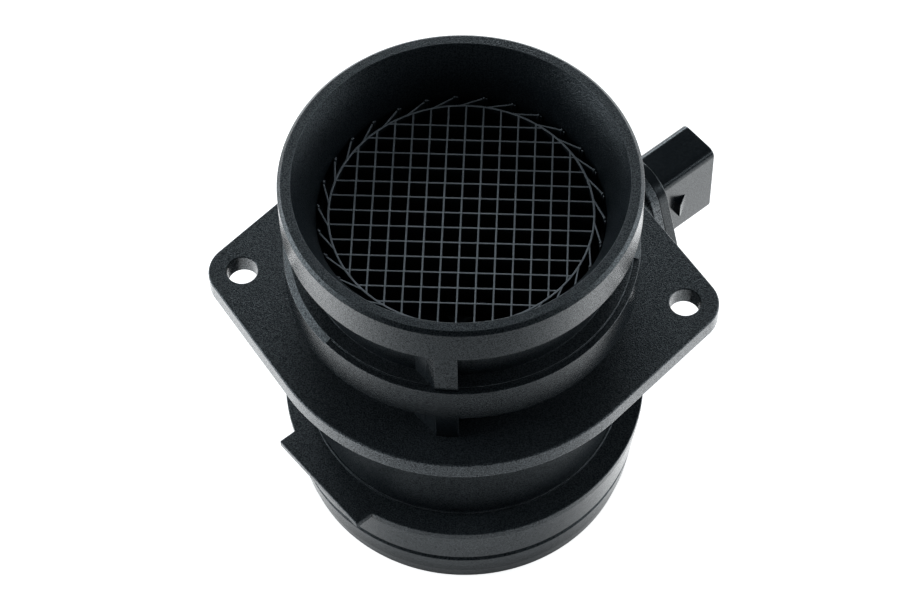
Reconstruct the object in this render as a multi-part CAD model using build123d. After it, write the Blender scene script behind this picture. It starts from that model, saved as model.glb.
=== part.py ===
from build123d import *
import math
import os

os.makedirs("parts", exist_ok=True)

# Mass airflow sensor, in millimetres. The origin is on the tube's axis at the flat base, +Z points to the
# mouth, X runs along the flange's two holes, and the plug-in module leaves the tube at module_azimuth.

# Heights of the tube's sections, from the mouth down
total_height = 108.0
rim_band_height = 10.4
rim_groove_height = 13.4
second_band_height = 10.7
undercut_height = 8.0
flange_thickness = 5.3
disc_height = 25.5

# Duct through the tube
duct_radius = 31.0
grid_seat_step = 1.1
mouth_flare = 4.2
mouth_lip_radius = 0.5
mouth_bulge = 0.7
outlet_flare = 1.4
outlet_flare_height = 2.6

# Walls and ledges outside the duct
rim_wall = 3.7
neck_wall = 4.3
band_depth = 4.7
waist_wall = 3.9
waist_flare = 1.9
step_width = 0.5
step_height = 0.6
hollow_wall = 3.2
hollow_width = 3.4
foot_wall = 2.9
foot_bevel = 0.9
foot_bevel_height = 4.2
disc_taper = 2.2
disc_edge_height = 2.1
disc_roof_thickness = 2.8

# Edge finish of the bands
rim_chamfer = 0.85
band_edge_chamfer = 1.5
band_edge_drop = 1.1
rebate_depth = 0.45
rebate_start_azimuth = -133.0
rebate_end_azimuth = -2.0
band_foot_chamfer = 0.4

# Groove in the disc's side
side_groove_height = 12.0
side_groove_depth = 0.65
side_groove_mouth = 1.6
side_groove_floor = 0.7

# Tab on the disc's top edge
tab_azimuth = -135.0
tab_overhang = 1.9
tab_width = 29.2
tab_thickness = 1.8

# Ribs under the rim and under the second band, cut along the mould slide's pull
rib_width = 5.4
rib_offset = 0.5
rib_azimuth = -90.0
upper_rib_inset = 0.7
mould_pull_azimuth = -45.0

# Flange with its two lobes
flange_width = 7.35
hole_outset = 3.4
hole_radius = 3.55
lobe_radius = 7.8
flange_chamfer = 0.5

# Flow grid insert
grid_depth_below_rim = 13.0
grid_height = 5.0
grid_pitch = 3.95
grid_wall = 0.58
grid_ring_gap = 2.75
grid_turn = 3.0
spoke_count = 30
spoke_turn = -10.0
spoke_foot_turn = -6.0
spoke_foot_wall = 0.75
grid_clearance = 0.12

# Port for the plug-in module; u runs outwards along module_azimuth, v across it
module_azimuth = 45.0
module_drop = 13.45
port_length = 23.0
port_flange_thickness = 2.4
port_wall = 2.4
plate_top_radius = 8.0
plate_top_rise = 6.75
ear_radius = 5.0
ear_half_spacing = 10.6
ear_drop = 17.25
post_radius = 4.4

# Module screws
screw_radius = 1.95
screw_clearance = 0.3
screw_hole_clearance = 0.05
screw_length = 10.0
screw_head_radius = 3.6
screw_head_height = 2.4
screw_head_chamfer = 0.7
screw_socket_radius = 1.7
screw_socket_depth = 1.3
pilot_spare_depth = 1.0

# Module plate, connector shroud and its latch lug
plate_thickness = 2.6
plate_chamfer = 0.3
shroud_width = 11.3
shroud_height = 23.3
shroud_length = 16.5
shroud_corner = 2.2
shroud_wall = 1.4
socket_depth = 14.5
lug_distance = 4.3
lug_length = 3.3
lug_height = 4.5
lug_rise = 1.9

# Spigot in the port and its sealing ring
spigot_width = 11.6
spigot_height = 20.2
spigot_length = 9.0
port_clearance = 0.15
seal_distance = 4.5
seal_groove_width = 2.2
seal_groove_depth = 1.5
seal_gap = 0.05
seal_chamfer = 0.45

# Probe blade
blade_tip_u = -4.2
blade_edge_inset = 0.9
blade_side_inset = 1.2
blade_corner = 2.5

# Covers on the blade's near side
cover_thickness = 1.2
cover_margin = 2.7
cover_corner = 1.0
cover_seat = 0.7
cover_clearance = 0.1

# Electronics chamber
chamber_end_wall = 2.0
chamber_floor_v = 1.8
chamber_corner = 0.8

# Bypass channel, a hairpin open to the blade's leading edge
channel_leg_width = 5.0
channel_divider = 1.6
channel_wall = 1.8
channel_floor_v = 3.2
channel_return_margin = 1.75
channel_bend_rise = 1.0
outlet_height = 2.8

# Metal base plate with its tongue, board, hot-film chip
base_plate_thickness = 0.8
base_plate_margin = 0.3
tongue_width = 4.0
tongue_reach = 6.5
board_thickness = 0.7
board_margin = 1.2
board_tongue_gap = 1.6
chip_thickness = 0.3
chip_length = 2.8
chip_width = 2.0
chip_margin = 0.6

# Terminals
pin_count = 5
pin_pitch = 2.4
pin_width = 1.0
pin_thickness = 0.6
pin_tip_recess = 5.9
pin_tip_taper = 0.3
pin_tail = 2.0

# Air temperature sensor beside the blade
bead_radius = 0.9
bead_chamfer = 0.4
bead_length = 4.2
bead_inset = 7.5
bead_gap = 0.7
lead_radius = 0.25
lead_span = 7.4
lead_bend = 0.6
lead_depth = 1.0
lead_clearance = 0.05

# Radii that follow from the duct and the walls
grid_seat_radius = duct_radius + grid_seat_step
mouth_radius = grid_seat_radius + mouth_flare
rim_radius = mouth_radius + rim_wall
neck_radius = duct_radius + neck_wall
band_radius = neck_radius + band_depth
waist_radius = duct_radius + waist_wall
waist_end_radius = waist_radius + waist_flare
step_radius = waist_end_radius + step_width
hollow_inner_radius = duct_radius + hollow_wall
hollow_outer_radius = hollow_inner_radius + hollow_width
foot_radius = hollow_outer_radius + foot_wall
disc_radius = foot_radius + disc_taper
tab_reach = disc_radius + tab_overhang
flange_radius = band_radius + flange_width
hole_spacing = 2 * (flange_radius + hole_outset)
grid_ring_radius = grid_seat_radius - grid_ring_gap
grid_lines_each_side = int(grid_ring_radius / grid_pitch)

# Levels and places that follow from the sizes above
rim_bottom = total_height - rim_band_height
band_top = rim_bottom - rim_groove_height
band_bottom = band_top - second_band_height
flange_top = band_bottom - undercut_height
flange_bottom = flange_top - flange_thickness
grid_top = total_height - grid_depth_below_rim
grid_bottom = grid_top - grid_height
module_z = flange_bottom - module_drop
port_face_u = duct_radius + port_length
plate_face_u = port_face_u + plate_thickness
shroud_end_u = plate_face_u + shroud_length
spigot_end_u = port_face_u - spigot_length
seal_u = port_face_u - seal_distance
blade_chord = spigot_height - 2 * blade_edge_inset
blade_thickness = spigot_width - 2 * blade_side_inset
cover_height = blade_chord - 2 * cover_margin
cover_face_v = -blade_thickness / 2
cover_inner_v = cover_face_v + cover_thickness
board_face_v = chamber_floor_v - base_plate_thickness
channel_width = 2 * channel_leg_width + channel_divider
channel_start_u = blade_tip_u + channel_wall
channel_end_u = channel_start_u + channel_width
channel_return_top = cover_height / 2 - channel_return_margin
channel_bend_z = module_z - cover_height / 2 + channel_bend_rise + channel_width / 2
chamber_start_u = channel_end_u + channel_wall
chamber_length = spigot_end_u - chamber_end_wall - chamber_start_u
bead_u = duct_radius - bead_inset
blade_top = module_z + blade_chord / 2


def face_of(corners):
    """Flat face through the corners, each an (x, y) pair."""
    return make_face(Polyline(*corners, close=True))


def ring_between(inner, outer, low, high):
    """Plain ring about the axis."""
    ring = Cylinder(outer, high - low) - Cylinder(inner, high - low)
    return Pos(0, 0, (low + high) / 2) * ring


def at_azimuth(azimuth, shape):
    """The shape turned from the +X side of the tube to the azimuth."""
    return Rot(0, 0, azimuth) * shape


def along_u(sketch, start, end):
    """A sketch in (v, z) drawn out between two stations on u."""
    return extrude(Plane.YZ.offset(start) * sketch, end - start)


def along_v(sketch, start, end):
    """A sketch in (u, z) drawn out between two stations on v."""
    return extrude(Plane.XZ.offset(-end) * sketch, end - start)


def tube_outline():
    """Half section of the tube's outside, from the base up to the mouth."""
    waist_low = disc_height + step_height
    below = Polyline(
        (0, 0),
        (foot_radius - foot_bevel, 0),
        (foot_radius, foot_bevel_height),
        (disc_radius, disc_height - disc_edge_height),
        (disc_radius, disc_height),
        (step_radius, disc_height),
        (step_radius, waist_low),
        (waist_end_radius, waist_low),
    )
    waist = ThreePointArc(
        (waist_end_radius, waist_low),
        (waist_radius, (waist_low + flange_bottom) / 2),
        (waist_end_radius, flange_bottom),
    )
    above = Polyline(
        (waist_end_radius, flange_bottom),
        (neck_radius, flange_top),
        (neck_radius, band_bottom),
        (band_radius - band_foot_chamfer, band_bottom),
        (band_radius, band_bottom + band_foot_chamfer),
        (band_radius, band_top),
        (neck_radius, band_top),
        (neck_radius, rim_bottom),
        (rim_radius, rim_bottom),
        (rim_radius, total_height - rim_chamfer),
        (rim_radius - rim_chamfer, total_height),
        (0, total_height),
        (0, 0),
    )
    return make_face(below.edges() + waist.edges() + above.edges())


def duct_outline():
    """Half section of the duct: flared outlet, straight bore, grid seat and bell mouth."""
    lip = mouth_radius - mouth_lip_radius
    straight = Polyline(
        (0, 0),
        (duct_radius + outlet_flare, 0),
        (duct_radius, outlet_flare_height),
        (duct_radius, grid_bottom),
        (grid_seat_radius, grid_bottom),
        (grid_seat_radius, grid_top),
    )
    mouth_middle = ((grid_seat_radius + lip) / 2 - mouth_bulge, (grid_top + total_height) / 2)
    mouth = ThreePointArc((grid_seat_radius, grid_top), mouth_middle, (lip, total_height - mouth_lip_radius))
    close = Polyline(
        (lip, total_height - mouth_lip_radius),
        (mouth_radius, total_height),
        (0, total_height),
        (0, 0),
    )
    return make_face(straight.edges() + mouth.edges() + close.edges())


def band_edge_cuts():
    """What leaves the second band's top edge: a low rebate over part of the turn, a chamfer over the rest."""
    inner = band_radius - band_edge_chamfer
    outer = band_radius + band_edge_chamfer
    rebate = face_of(
        [
            (inner, band_top - rebate_depth),
            (outer, band_top - rebate_depth),
            (outer, band_top + band_edge_drop),
            (inner, band_top + band_edge_drop),
        ]
    )
    bevel = face_of(
        [
            (inner, band_top),
            (outer, band_top - 2 * band_edge_drop),
            (outer, band_top + band_edge_drop),
            (inner, band_top + band_edge_drop),
        ]
    )
    rebate_turn = rebate_end_azimuth - rebate_start_azimuth
    low_lip = revolve(Plane.XZ * rebate, Axis.Z, rebate_turn)
    slope = revolve(Plane.XZ * bevel, Axis.Z, 360.0 - rebate_turn)
    return [at_azimuth(rebate_start_azimuth, low_lip), at_azimuth(rebate_end_azimuth, slope)]


def side_groove():
    """Groove with sloping flanks in the side of the lower disc."""
    slope = (disc_radius - foot_radius) / (disc_height - disc_edge_height - foot_bevel_height)
    wall = foot_radius + slope * (side_groove_height - foot_bevel_height)
    section = face_of(
        [
            (wall - side_groove_depth, side_groove_height - side_groove_floor / 2),
            (wall - side_groove_depth, side_groove_height + side_groove_floor / 2),
            (wall + side_groove_depth, side_groove_height + side_groove_mouth - side_groove_floor / 2),
            (wall + side_groove_depth, side_groove_height - side_groove_mouth + side_groove_floor / 2),
        ]
    )
    return revolve(Plane.XZ * section, Axis.Z)


def disc_tab():
    """Flat tab that widens the disc's top edge on one side."""
    inner = hollow_outer_radius
    tab = Box(tab_reach - inner, tab_width, tab_thickness, align=(Align.MIN, Align.CENTER, Align.MAX))
    return at_azimuth(tab_azimuth, Pos(inner, 0, disc_height) * tab)


def rib(face_radius, low, high):
    """Short rib at the front of a groove, with both flanks along the mould slide's pull."""
    depth = face_radius - duct_radius
    pull = math.radians(mould_pull_azimuth - rib_azimuth + 90.0)
    lean = depth / math.tan(pull)
    left = rib_offset - rib_width / 2
    right = rib_offset + rib_width / 2
    reach = face_radius + depth
    plan = face_of(
        [
            (left - lean, -reach),
            (right - lean, -reach),
            (right + lean, -duct_radius),
            (left + lean, -duct_radius),
        ]
    )
    return extrude(Pos(0, 0, low) * (plan & Circle(face_radius)), high - low)


def flange():
    """Flange plate: a round middle drawn out to two lobes, each with its hole."""
    lobes = [Pos(side * hole_spacing / 2, 0) * Circle(lobe_radius) for side in (-1, 1)]
    outline = make_hull(Circle(flange_radius).edges() + lobes[0].edges() + lobes[1].edges())
    plate = extrude(Pos(0, 0, flange_bottom) * outline, flange_thickness)
    rims = plate.faces().sort_by(Axis.Z)
    plate = chamfer(rims[0].edges() + rims[-1].edges(), flange_chamfer)
    middle = (flange_bottom + flange_top) / 2
    holes = [Pos(side * hole_spacing / 2, 0, middle) * Cylinder(hole_radius, flange_thickness) for side in (-1, 1)]
    return plate - holes


def plate_outline():
    """Outline shared by the port's flange and the module's plate: an arch with two ears."""
    arch = Pos(0, module_z + plate_top_rise) * Circle(plate_top_radius)
    ears = [Pos(side * ear_half_spacing, module_z - ear_drop) * Circle(ear_radius) for side in (-1, 1)]
    return make_hull(arch.edges() + ears[0].edges() + ears[1].edges())


def oblong(width, height):
    """Full-round oblong about the module's axis, in (v, z)."""
    return Pos(0, module_z) * (Rot(0, 0, 90) * SlotOverall(height, width))


def ear_places():
    """The two (v, z) places of the module's screws."""
    return [(side * ear_half_spacing, module_z - ear_drop) for side in (-1, 1)]


def port_solids():
    """The port on the tube: oblong boss, flange and two screw posts, before they are bored."""
    start = duct_radius / 2
    bore_width = spigot_width + 2 * port_clearance
    bore_height = spigot_height + 2 * port_clearance
    boss = along_u(oblong(bore_width + 2 * port_wall, bore_height + 2 * port_wall), start, port_face_u)
    pad = along_u(plate_outline(), port_face_u - port_flange_thickness, port_face_u)
    posts = [along_u(Pos(v, z) * Circle(post_radius), start, port_face_u) for v, z in ear_places()]
    return [boss, pad, *posts]


def port_bores():
    """The opening for the module and the blind holes for its screws."""
    bore = along_u(oblong(spigot_width + 2 * port_clearance, spigot_height + 2 * port_clearance), 0, port_face_u)
    pilot_depth = screw_length - plate_thickness + pilot_spare_depth
    pilot = Circle(screw_radius + screw_hole_clearance)
    pilots = [along_u(Pos(v, z) * pilot, port_face_u - pilot_depth, port_face_u) for v, z in ear_places()]
    return [bore, *pilots]


def sensor_housing():
    """The tube moulding."""
    body = revolve(Plane.XZ * tube_outline(), Axis.Z)
    body -= band_edge_cuts()
    body += [flange(), disc_tab()]
    body += rib(rim_radius - upper_rib_inset, band_top, rim_bottom)
    body += rib(band_radius, flange_top, band_bottom)
    body += [at_azimuth(module_azimuth, solid) for solid in port_solids()]
    body -= revolve(Plane.XZ * duct_outline(), Axis.Z)
    body -= ring_between(hollow_inner_radius, hollow_outer_radius, 0, disc_height - disc_roof_thickness)
    body -= side_groove()
    body -= [at_azimuth(module_azimuth, solid) for solid in port_bores()]
    return body


def spoke(azimuth):
    """One slanted spoke with its foot along the duct's wall."""
    root, tip, heel = (math.radians(azimuth + turn) for turn in (0.0, spoke_turn, spoke_turn + spoke_foot_turn))
    outer = grid_seat_radius - grid_clearance
    inner = outer - spoke_foot_wall
    middle = outer - spoke_foot_wall / 2
    start = Vector(grid_ring_radius * math.cos(root), grid_ring_radius * math.sin(root))
    end = Vector(middle * math.cos(tip), middle * math.sin(tip))
    side = (end - start).normalized().rotate(Axis.Z, 90) * (grid_wall / 2)
    bar = face_of([start + side, end + side, end - side, start - side])
    foot_edges = [
        RadiusArc(polar(outer, heel), polar(outer, tip), -outer),
        Line(polar(outer, tip), polar(inner, tip)),
        RadiusArc(polar(inner, tip), polar(inner, heel), inner),
        Line(polar(inner, heel), polar(outer, heel)),
    ]
    return bar + make_face(foot_edges)


def polar(radius, angle):
    """Point at a radius and an angle in radians."""
    return (radius * math.cos(angle), radius * math.sin(angle))


def flow_grid():
    """The grid insert: lattice, ring, spokes and feet, all of one height."""
    span = 2 * grid_ring_radius
    places = [line * grid_pitch for line in range(-grid_lines_each_side, grid_lines_each_side + 1)]
    bars = [Pos(place, 0) * Rectangle(grid_wall, span) for place in places]
    bars += [Pos(0, place) * Rectangle(span, grid_wall) for place in places]
    lattice = Rot(0, 0, grid_turn) * (Sketch() + bars)
    ring_outer = grid_ring_radius + grid_wall / 2
    plan = (lattice & Circle(grid_ring_radius)) + (Circle(ring_outer) - Circle(ring_outer - grid_wall))
    plan += [spoke(360.0 / spoke_count * index) for index in range(spoke_count)]
    return extrude(Pos(0, 0, grid_bottom) * plan, grid_height)


def connector_shroud():
    """Connector shroud on the plate, with the wedge that the plug's latch snaps over."""
    outer = Pos(0, module_z) * RectangleRounded(shroud_width, shroud_height, shroud_corner)
    shroud = along_u(outer, plate_face_u, shroud_end_u)
    lug_start = plate_face_u + lug_distance
    wedge = make_face(
        Polyline(
            (lug_start, -shroud_width / 2),
            (lug_start + lug_length, -shroud_width / 2),
            (lug_start, -shroud_width / 2 - lug_rise),
            close=True,
        )
    )
    lug = extrude(Pos(0, 0, module_z - lug_height / 2) * wedge, lug_height)
    return shroud + lug


def socket_hollow():
    """Hollow inside the connector shroud."""
    inner_corner = shroud_corner - shroud_wall
    inner = RectangleRounded(shroud_width - 2 * shroud_wall, shroud_height - 2 * shroud_wall, inner_corner)
    return along_u(Pos(0, module_z) * inner, shroud_end_u - socket_depth, shroud_end_u)


def seal_groove():
    """Groove round the spigot for the sealing ring."""
    half = seal_groove_width / 2
    around = oblong(spigot_width, spigot_height)
    floor = oblong(spigot_width - 2 * seal_groove_depth, spigot_height - 2 * seal_groove_depth)
    return along_u(around - floor, seal_u - half, seal_u + half)


def cover_outline(start, end, gap):
    """Outline of a cover on the blade, in (u, z), grown by a gap."""
    outline = RectangleRounded(end - start + 2 * gap, cover_height + 2 * gap, cover_corner)
    return Pos((start + end) / 2, module_z) * outline


def channel_cover_ends():
    """Stations on u where the channel's cover starts and ends."""
    return channel_start_u - cover_seat, channel_end_u + cover_seat


def electronics_cover_ends():
    """Stations on u where the chamber's cover starts and ends."""
    return chamber_start_u - cover_seat, chamber_start_u + chamber_length + cover_seat


def chamber_plan():
    """Plan of the electronics chamber, in (u, z)."""
    height = cover_height - 2 * cover_seat - 2 * cover_clearance
    plan = RectangleRounded(chamber_length, height, chamber_corner)
    return Pos(chamber_start_u + chamber_length / 2, module_z) * plan


def channel_plan():
    """Plan of the hairpin channel, in (u, z): two legs joined by a half turn."""
    middle = channel_start_u + channel_width / 2
    bend = Pos(middle, channel_bend_z) * (Circle(channel_width / 2) - Circle(channel_divider / 2))
    lower_half = Pos(middle, channel_bend_z) * Rectangle(
        channel_width, channel_width, align=(Align.CENTER, Align.MAX)
    )
    plan = bend & lower_half
    leg_height = module_z + channel_return_top - channel_bend_z
    for start in (channel_start_u, channel_end_u - channel_leg_width):
        leg = Rectangle(channel_leg_width, leg_height, align=(Align.MIN, Align.MIN))
        plan += Pos(start, channel_bend_z) * leg
    return plan


def channel_inlet():
    """Closed passage from the blade's leading edge down to the channel's first leg."""
    low = module_z + channel_return_top
    inlet = Rectangle(channel_leg_width, blade_top - low, align=(Align.MIN, Align.MIN))
    return along_v(Pos(channel_end_u - channel_leg_width, low) * inlet, -channel_floor_v, channel_floor_v)


def terminal_pin(index):
    """One contact blade, from the board to the socket."""
    z = module_z + (index - (pin_count - 1) / 2) * pin_pitch
    start = chamber_start_u + chamber_length - pin_tail
    end = shroud_end_u - pin_tip_recess
    half = pin_width / 2
    outline = face_of(
        [
            (start, z - half),
            (end - pin_tip_taper, z - half),
            (end, z - half + pin_tip_taper),
            (end, z + half - pin_tip_taper),
            (end - pin_tip_taper, z + half),
            (start, z + half),
        ]
    )
    return along_v(outline, board_face_v - board_thickness - pin_thickness, board_face_v - board_thickness)


def base_plate():
    """Metal plate on the chamber's floor, with the tongue that reaches into the channel."""
    height = cover_height - 2 * cover_seat - 2 * cover_clearance - 2 * base_plate_margin
    start = chamber_start_u + base_plate_margin
    length = chamber_length - 2 * base_plate_margin
    plate = Pos(start + length / 2, module_z) * RectangleRounded(length, height, chamber_corner / 2)
    tongue = Rectangle(tongue_reach, tongue_width, align=(Align.MAX, Align.CENTER))
    return along_v(plate + Pos(start + chamber_corner, tongue_z()) * tongue, board_face_v, chamber_floor_v)


def tongue_z():
    """Height of the tongue's middle, centred in the straight stretch of the channel's first leg."""
    return (channel_bend_z + module_z + channel_return_top) / 2


def tongue_slot():
    """Slot for the tongue in the wall between chamber and channel."""
    height = tongue_width + 2 * cover_clearance
    start = channel_end_u - channel_leg_width
    slot = Rectangle(chamber_start_u - start, height, align=(Align.MIN, Align.CENTER))
    return along_v(Pos(start, tongue_z()) * slot, board_face_v, chamber_floor_v)


def circuit_board():
    """Hybrid board on the base plate, short of the tongue."""
    height = cover_height - 2 * cover_seat - 2 * cover_clearance - 2 * board_margin + pin_width
    start = chamber_start_u + board_tongue_gap
    end = chamber_start_u + chamber_length - board_margin
    plan = Pos((start + end) / 2, module_z) * Rectangle(end - start, height)
    return along_v(plan, board_face_v - board_thickness, board_face_v)


def sensing_element():
    """Hot-film chip at the tongue's tip."""
    tip = chamber_start_u + base_plate_margin + chamber_corner - tongue_reach
    plan = Pos(tip + chip_margin + chip_length / 2, tongue_z()) * Rectangle(chip_length, chip_width)
    return along_v(plan, board_face_v - chip_thickness, board_face_v)


def electronics_cover():
    """Flat lid of the electronics chamber."""
    start, end = electronics_cover_ends()
    return along_v(cover_outline(start, end, 0.0), cover_face_v, cover_inner_v)


def channel_cover():
    """Flat lid of the bypass channel, with the window where the air leaves it."""
    start, end = channel_cover_ends()
    lid = cover_outline(start, end, 0.0)
    window = Rectangle(channel_leg_width, outlet_height, align=(Align.MIN, Align.MAX))
    lid -= Pos(channel_start_u, module_z + channel_return_top) * window
    return along_v(lid, cover_face_v, cover_inner_v)


def lead_stations():
    """Stations on u of the two leads of the air temperature sensor."""
    return bead_u - lead_span / 2, bead_u + lead_span / 2


def air_temperature_sensor():
    """Bead on a bent lead that stands on the blade's far side."""
    face = blade_thickness / 2
    height = face + bead_gap + bead_radius
    foot = face - lead_depth
    first, last = lead_stations()
    route = FilletPolyline(
        (first, foot, module_z),
        (first, height, module_z),
        (last, height, module_z),
        (last, foot, module_z),
        radius=lead_bend,
    )
    lead = sweep(Plane(origin=route @ 0, z_dir=route % 0) * Circle(lead_radius), path=route)
    bead = Pos(bead_u, height, module_z) * (Rot(0, 90, 0) * Cylinder(bead_radius, bead_length))
    bead = chamfer(bead.edges().filter_by(GeomType.CIRCLE), bead_chamfer)
    return lead + bead


def lead_holes():
    """Blind holes for the two leads in the blade's far side."""
    face = blade_thickness / 2
    drill = Rot(90, 0, 0) * Cylinder(lead_radius + lead_clearance, lead_depth)
    return [Pos(u, face - lead_depth / 2, module_z) * drill for u in lead_stations()]


def sensor_module_frame():
    """The plug-in moulding: plate, shroud, spigot and blade with its hollows."""
    plate = along_u(plate_outline(), port_face_u, plate_face_u)
    plate = chamfer(plate.faces().sort_by(Axis.X)[-1].edges(), plate_chamfer)
    hole = Circle(screw_radius + screw_clearance)
    plate -= [along_u(Pos(v, z) * hole, port_face_u, plate_face_u) for v, z in ear_places()]
    spigot = along_u(oblong(spigot_width, spigot_height), spigot_end_u, port_face_u)
    section = Pos(0, module_z) * RectangleRounded(blade_thickness, blade_chord, blade_corner)
    blade = along_u(section, blade_tip_u, spigot_end_u)
    frame = blade + [spigot, plate, connector_shroud()]
    frame -= [socket_hollow(), seal_groove(), channel_inlet(), tongue_slot()]
    frame -= along_v(chamber_plan(), cover_face_v, chamber_floor_v)
    frame -= along_v(channel_plan(), cover_face_v, channel_floor_v)
    for start, end in (electronics_cover_ends(), channel_cover_ends()):
        frame -= along_v(cover_outline(start, end, cover_clearance), cover_face_v, cover_inner_v)
    frame -= [terminal_pin(index) for index in range(pin_count)]
    frame -= lead_holes()
    return frame


def sealing_ring():
    """Rubber ring that fills the spigot's groove out to the port."""
    inner_grow = 2 * (seal_gap - seal_groove_depth)
    outer_grow = 2 * (port_clearance - seal_gap)
    inner = oblong(spigot_width + inner_grow, spigot_height + inner_grow)
    outer = oblong(spigot_width + outer_grow, spigot_height + outer_grow)
    half = seal_groove_width / 2 - seal_gap
    ring = along_u(outer - inner, seal_u - half, seal_u + half)
    return chamfer(ring.edges().filter_by(GeomType.CIRCLE) + ring.edges().filter_by(Axis.Z), seal_chamfer)


def module_screw(place):
    """Pan-head screw with a socket, seated on the plate."""
    v, z = place
    head = along_u(Circle(screw_head_radius), plate_face_u, plate_face_u + screw_head_height)
    head = chamfer(head.faces().sort_by(Axis.X)[-1].edges(), screw_head_chamfer)
    shank = along_u(Circle(screw_radius), plate_face_u - screw_length, plate_face_u)
    top = plate_face_u + screw_head_height
    socket = along_u(RegularPolygon(screw_socket_radius, 6), top - screw_socket_depth, top)
    return Pos(0, v, z) * (head + shank - socket)


def all_parts():
    """Every node's name and solid, in the tube's frame."""
    parts = {
        "sensor_housing": sensor_housing(),
        "flow_grid": flow_grid(),
    }
    module = {
        "sensor_module_frame": sensor_module_frame(),
        "sealing_ring": sealing_ring(),
        "base_plate": base_plate(),
        "circuit_board": circuit_board(),
        "sensing_element": sensing_element(),
        "electronics_cover": electronics_cover(),
        "channel_cover": channel_cover(),
        "air_temperature_sensor": air_temperature_sensor(),
    }
    for index in range(pin_count):
        module[f"terminal_pin_{index + 1}"] = terminal_pin(index)
    for index, place in enumerate(ear_places()):
        module[f"module_screw_{index + 1}"] = module_screw(place)
    for name, solid in module.items():
        parts[name] = at_azimuth(module_azimuth, solid)
    return parts


for node, solid in all_parts().items():
    export_step(solid, f"parts/{node}.step")
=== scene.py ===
import logging
import math
from dataclasses import dataclass
from enum import Enum
from typing import Callable

import bmesh
import bpy
from mathutils import Matrix, Vector


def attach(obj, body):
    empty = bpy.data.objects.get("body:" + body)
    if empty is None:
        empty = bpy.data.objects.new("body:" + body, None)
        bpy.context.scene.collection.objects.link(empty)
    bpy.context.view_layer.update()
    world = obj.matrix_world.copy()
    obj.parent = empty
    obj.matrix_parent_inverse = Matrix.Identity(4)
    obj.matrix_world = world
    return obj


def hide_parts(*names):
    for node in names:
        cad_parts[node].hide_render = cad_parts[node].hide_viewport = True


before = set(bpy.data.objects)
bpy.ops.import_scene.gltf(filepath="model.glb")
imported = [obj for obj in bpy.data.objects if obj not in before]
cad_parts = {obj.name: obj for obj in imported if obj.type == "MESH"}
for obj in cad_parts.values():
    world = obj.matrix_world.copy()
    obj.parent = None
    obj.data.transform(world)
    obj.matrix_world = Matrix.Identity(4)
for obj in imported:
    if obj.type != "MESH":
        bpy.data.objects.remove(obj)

# Looks of the mass airflow sensor. Lengths are in metres, with the origin on the tube's axis at its flat
# base, +Z towards the mouth and X along the two holes of the flange.

log = logging.getLogger("mass_airflow_sensor")
BODY = "root"
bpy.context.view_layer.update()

Colour = tuple[float, float, float]
Socket = bpy.types.NodeSocket
Input = Socket | float | tuple[float, ...]
NOISE_LOW, NOISE_HIGH = 0.35, 0.65
SMOOTH = "SMOOTHSTEP"
WHITE = (1.0, 1.0, 1.0, 1.0)
GRID_BOTTOM, GRID_TOP = 0.090, 0.095


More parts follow.
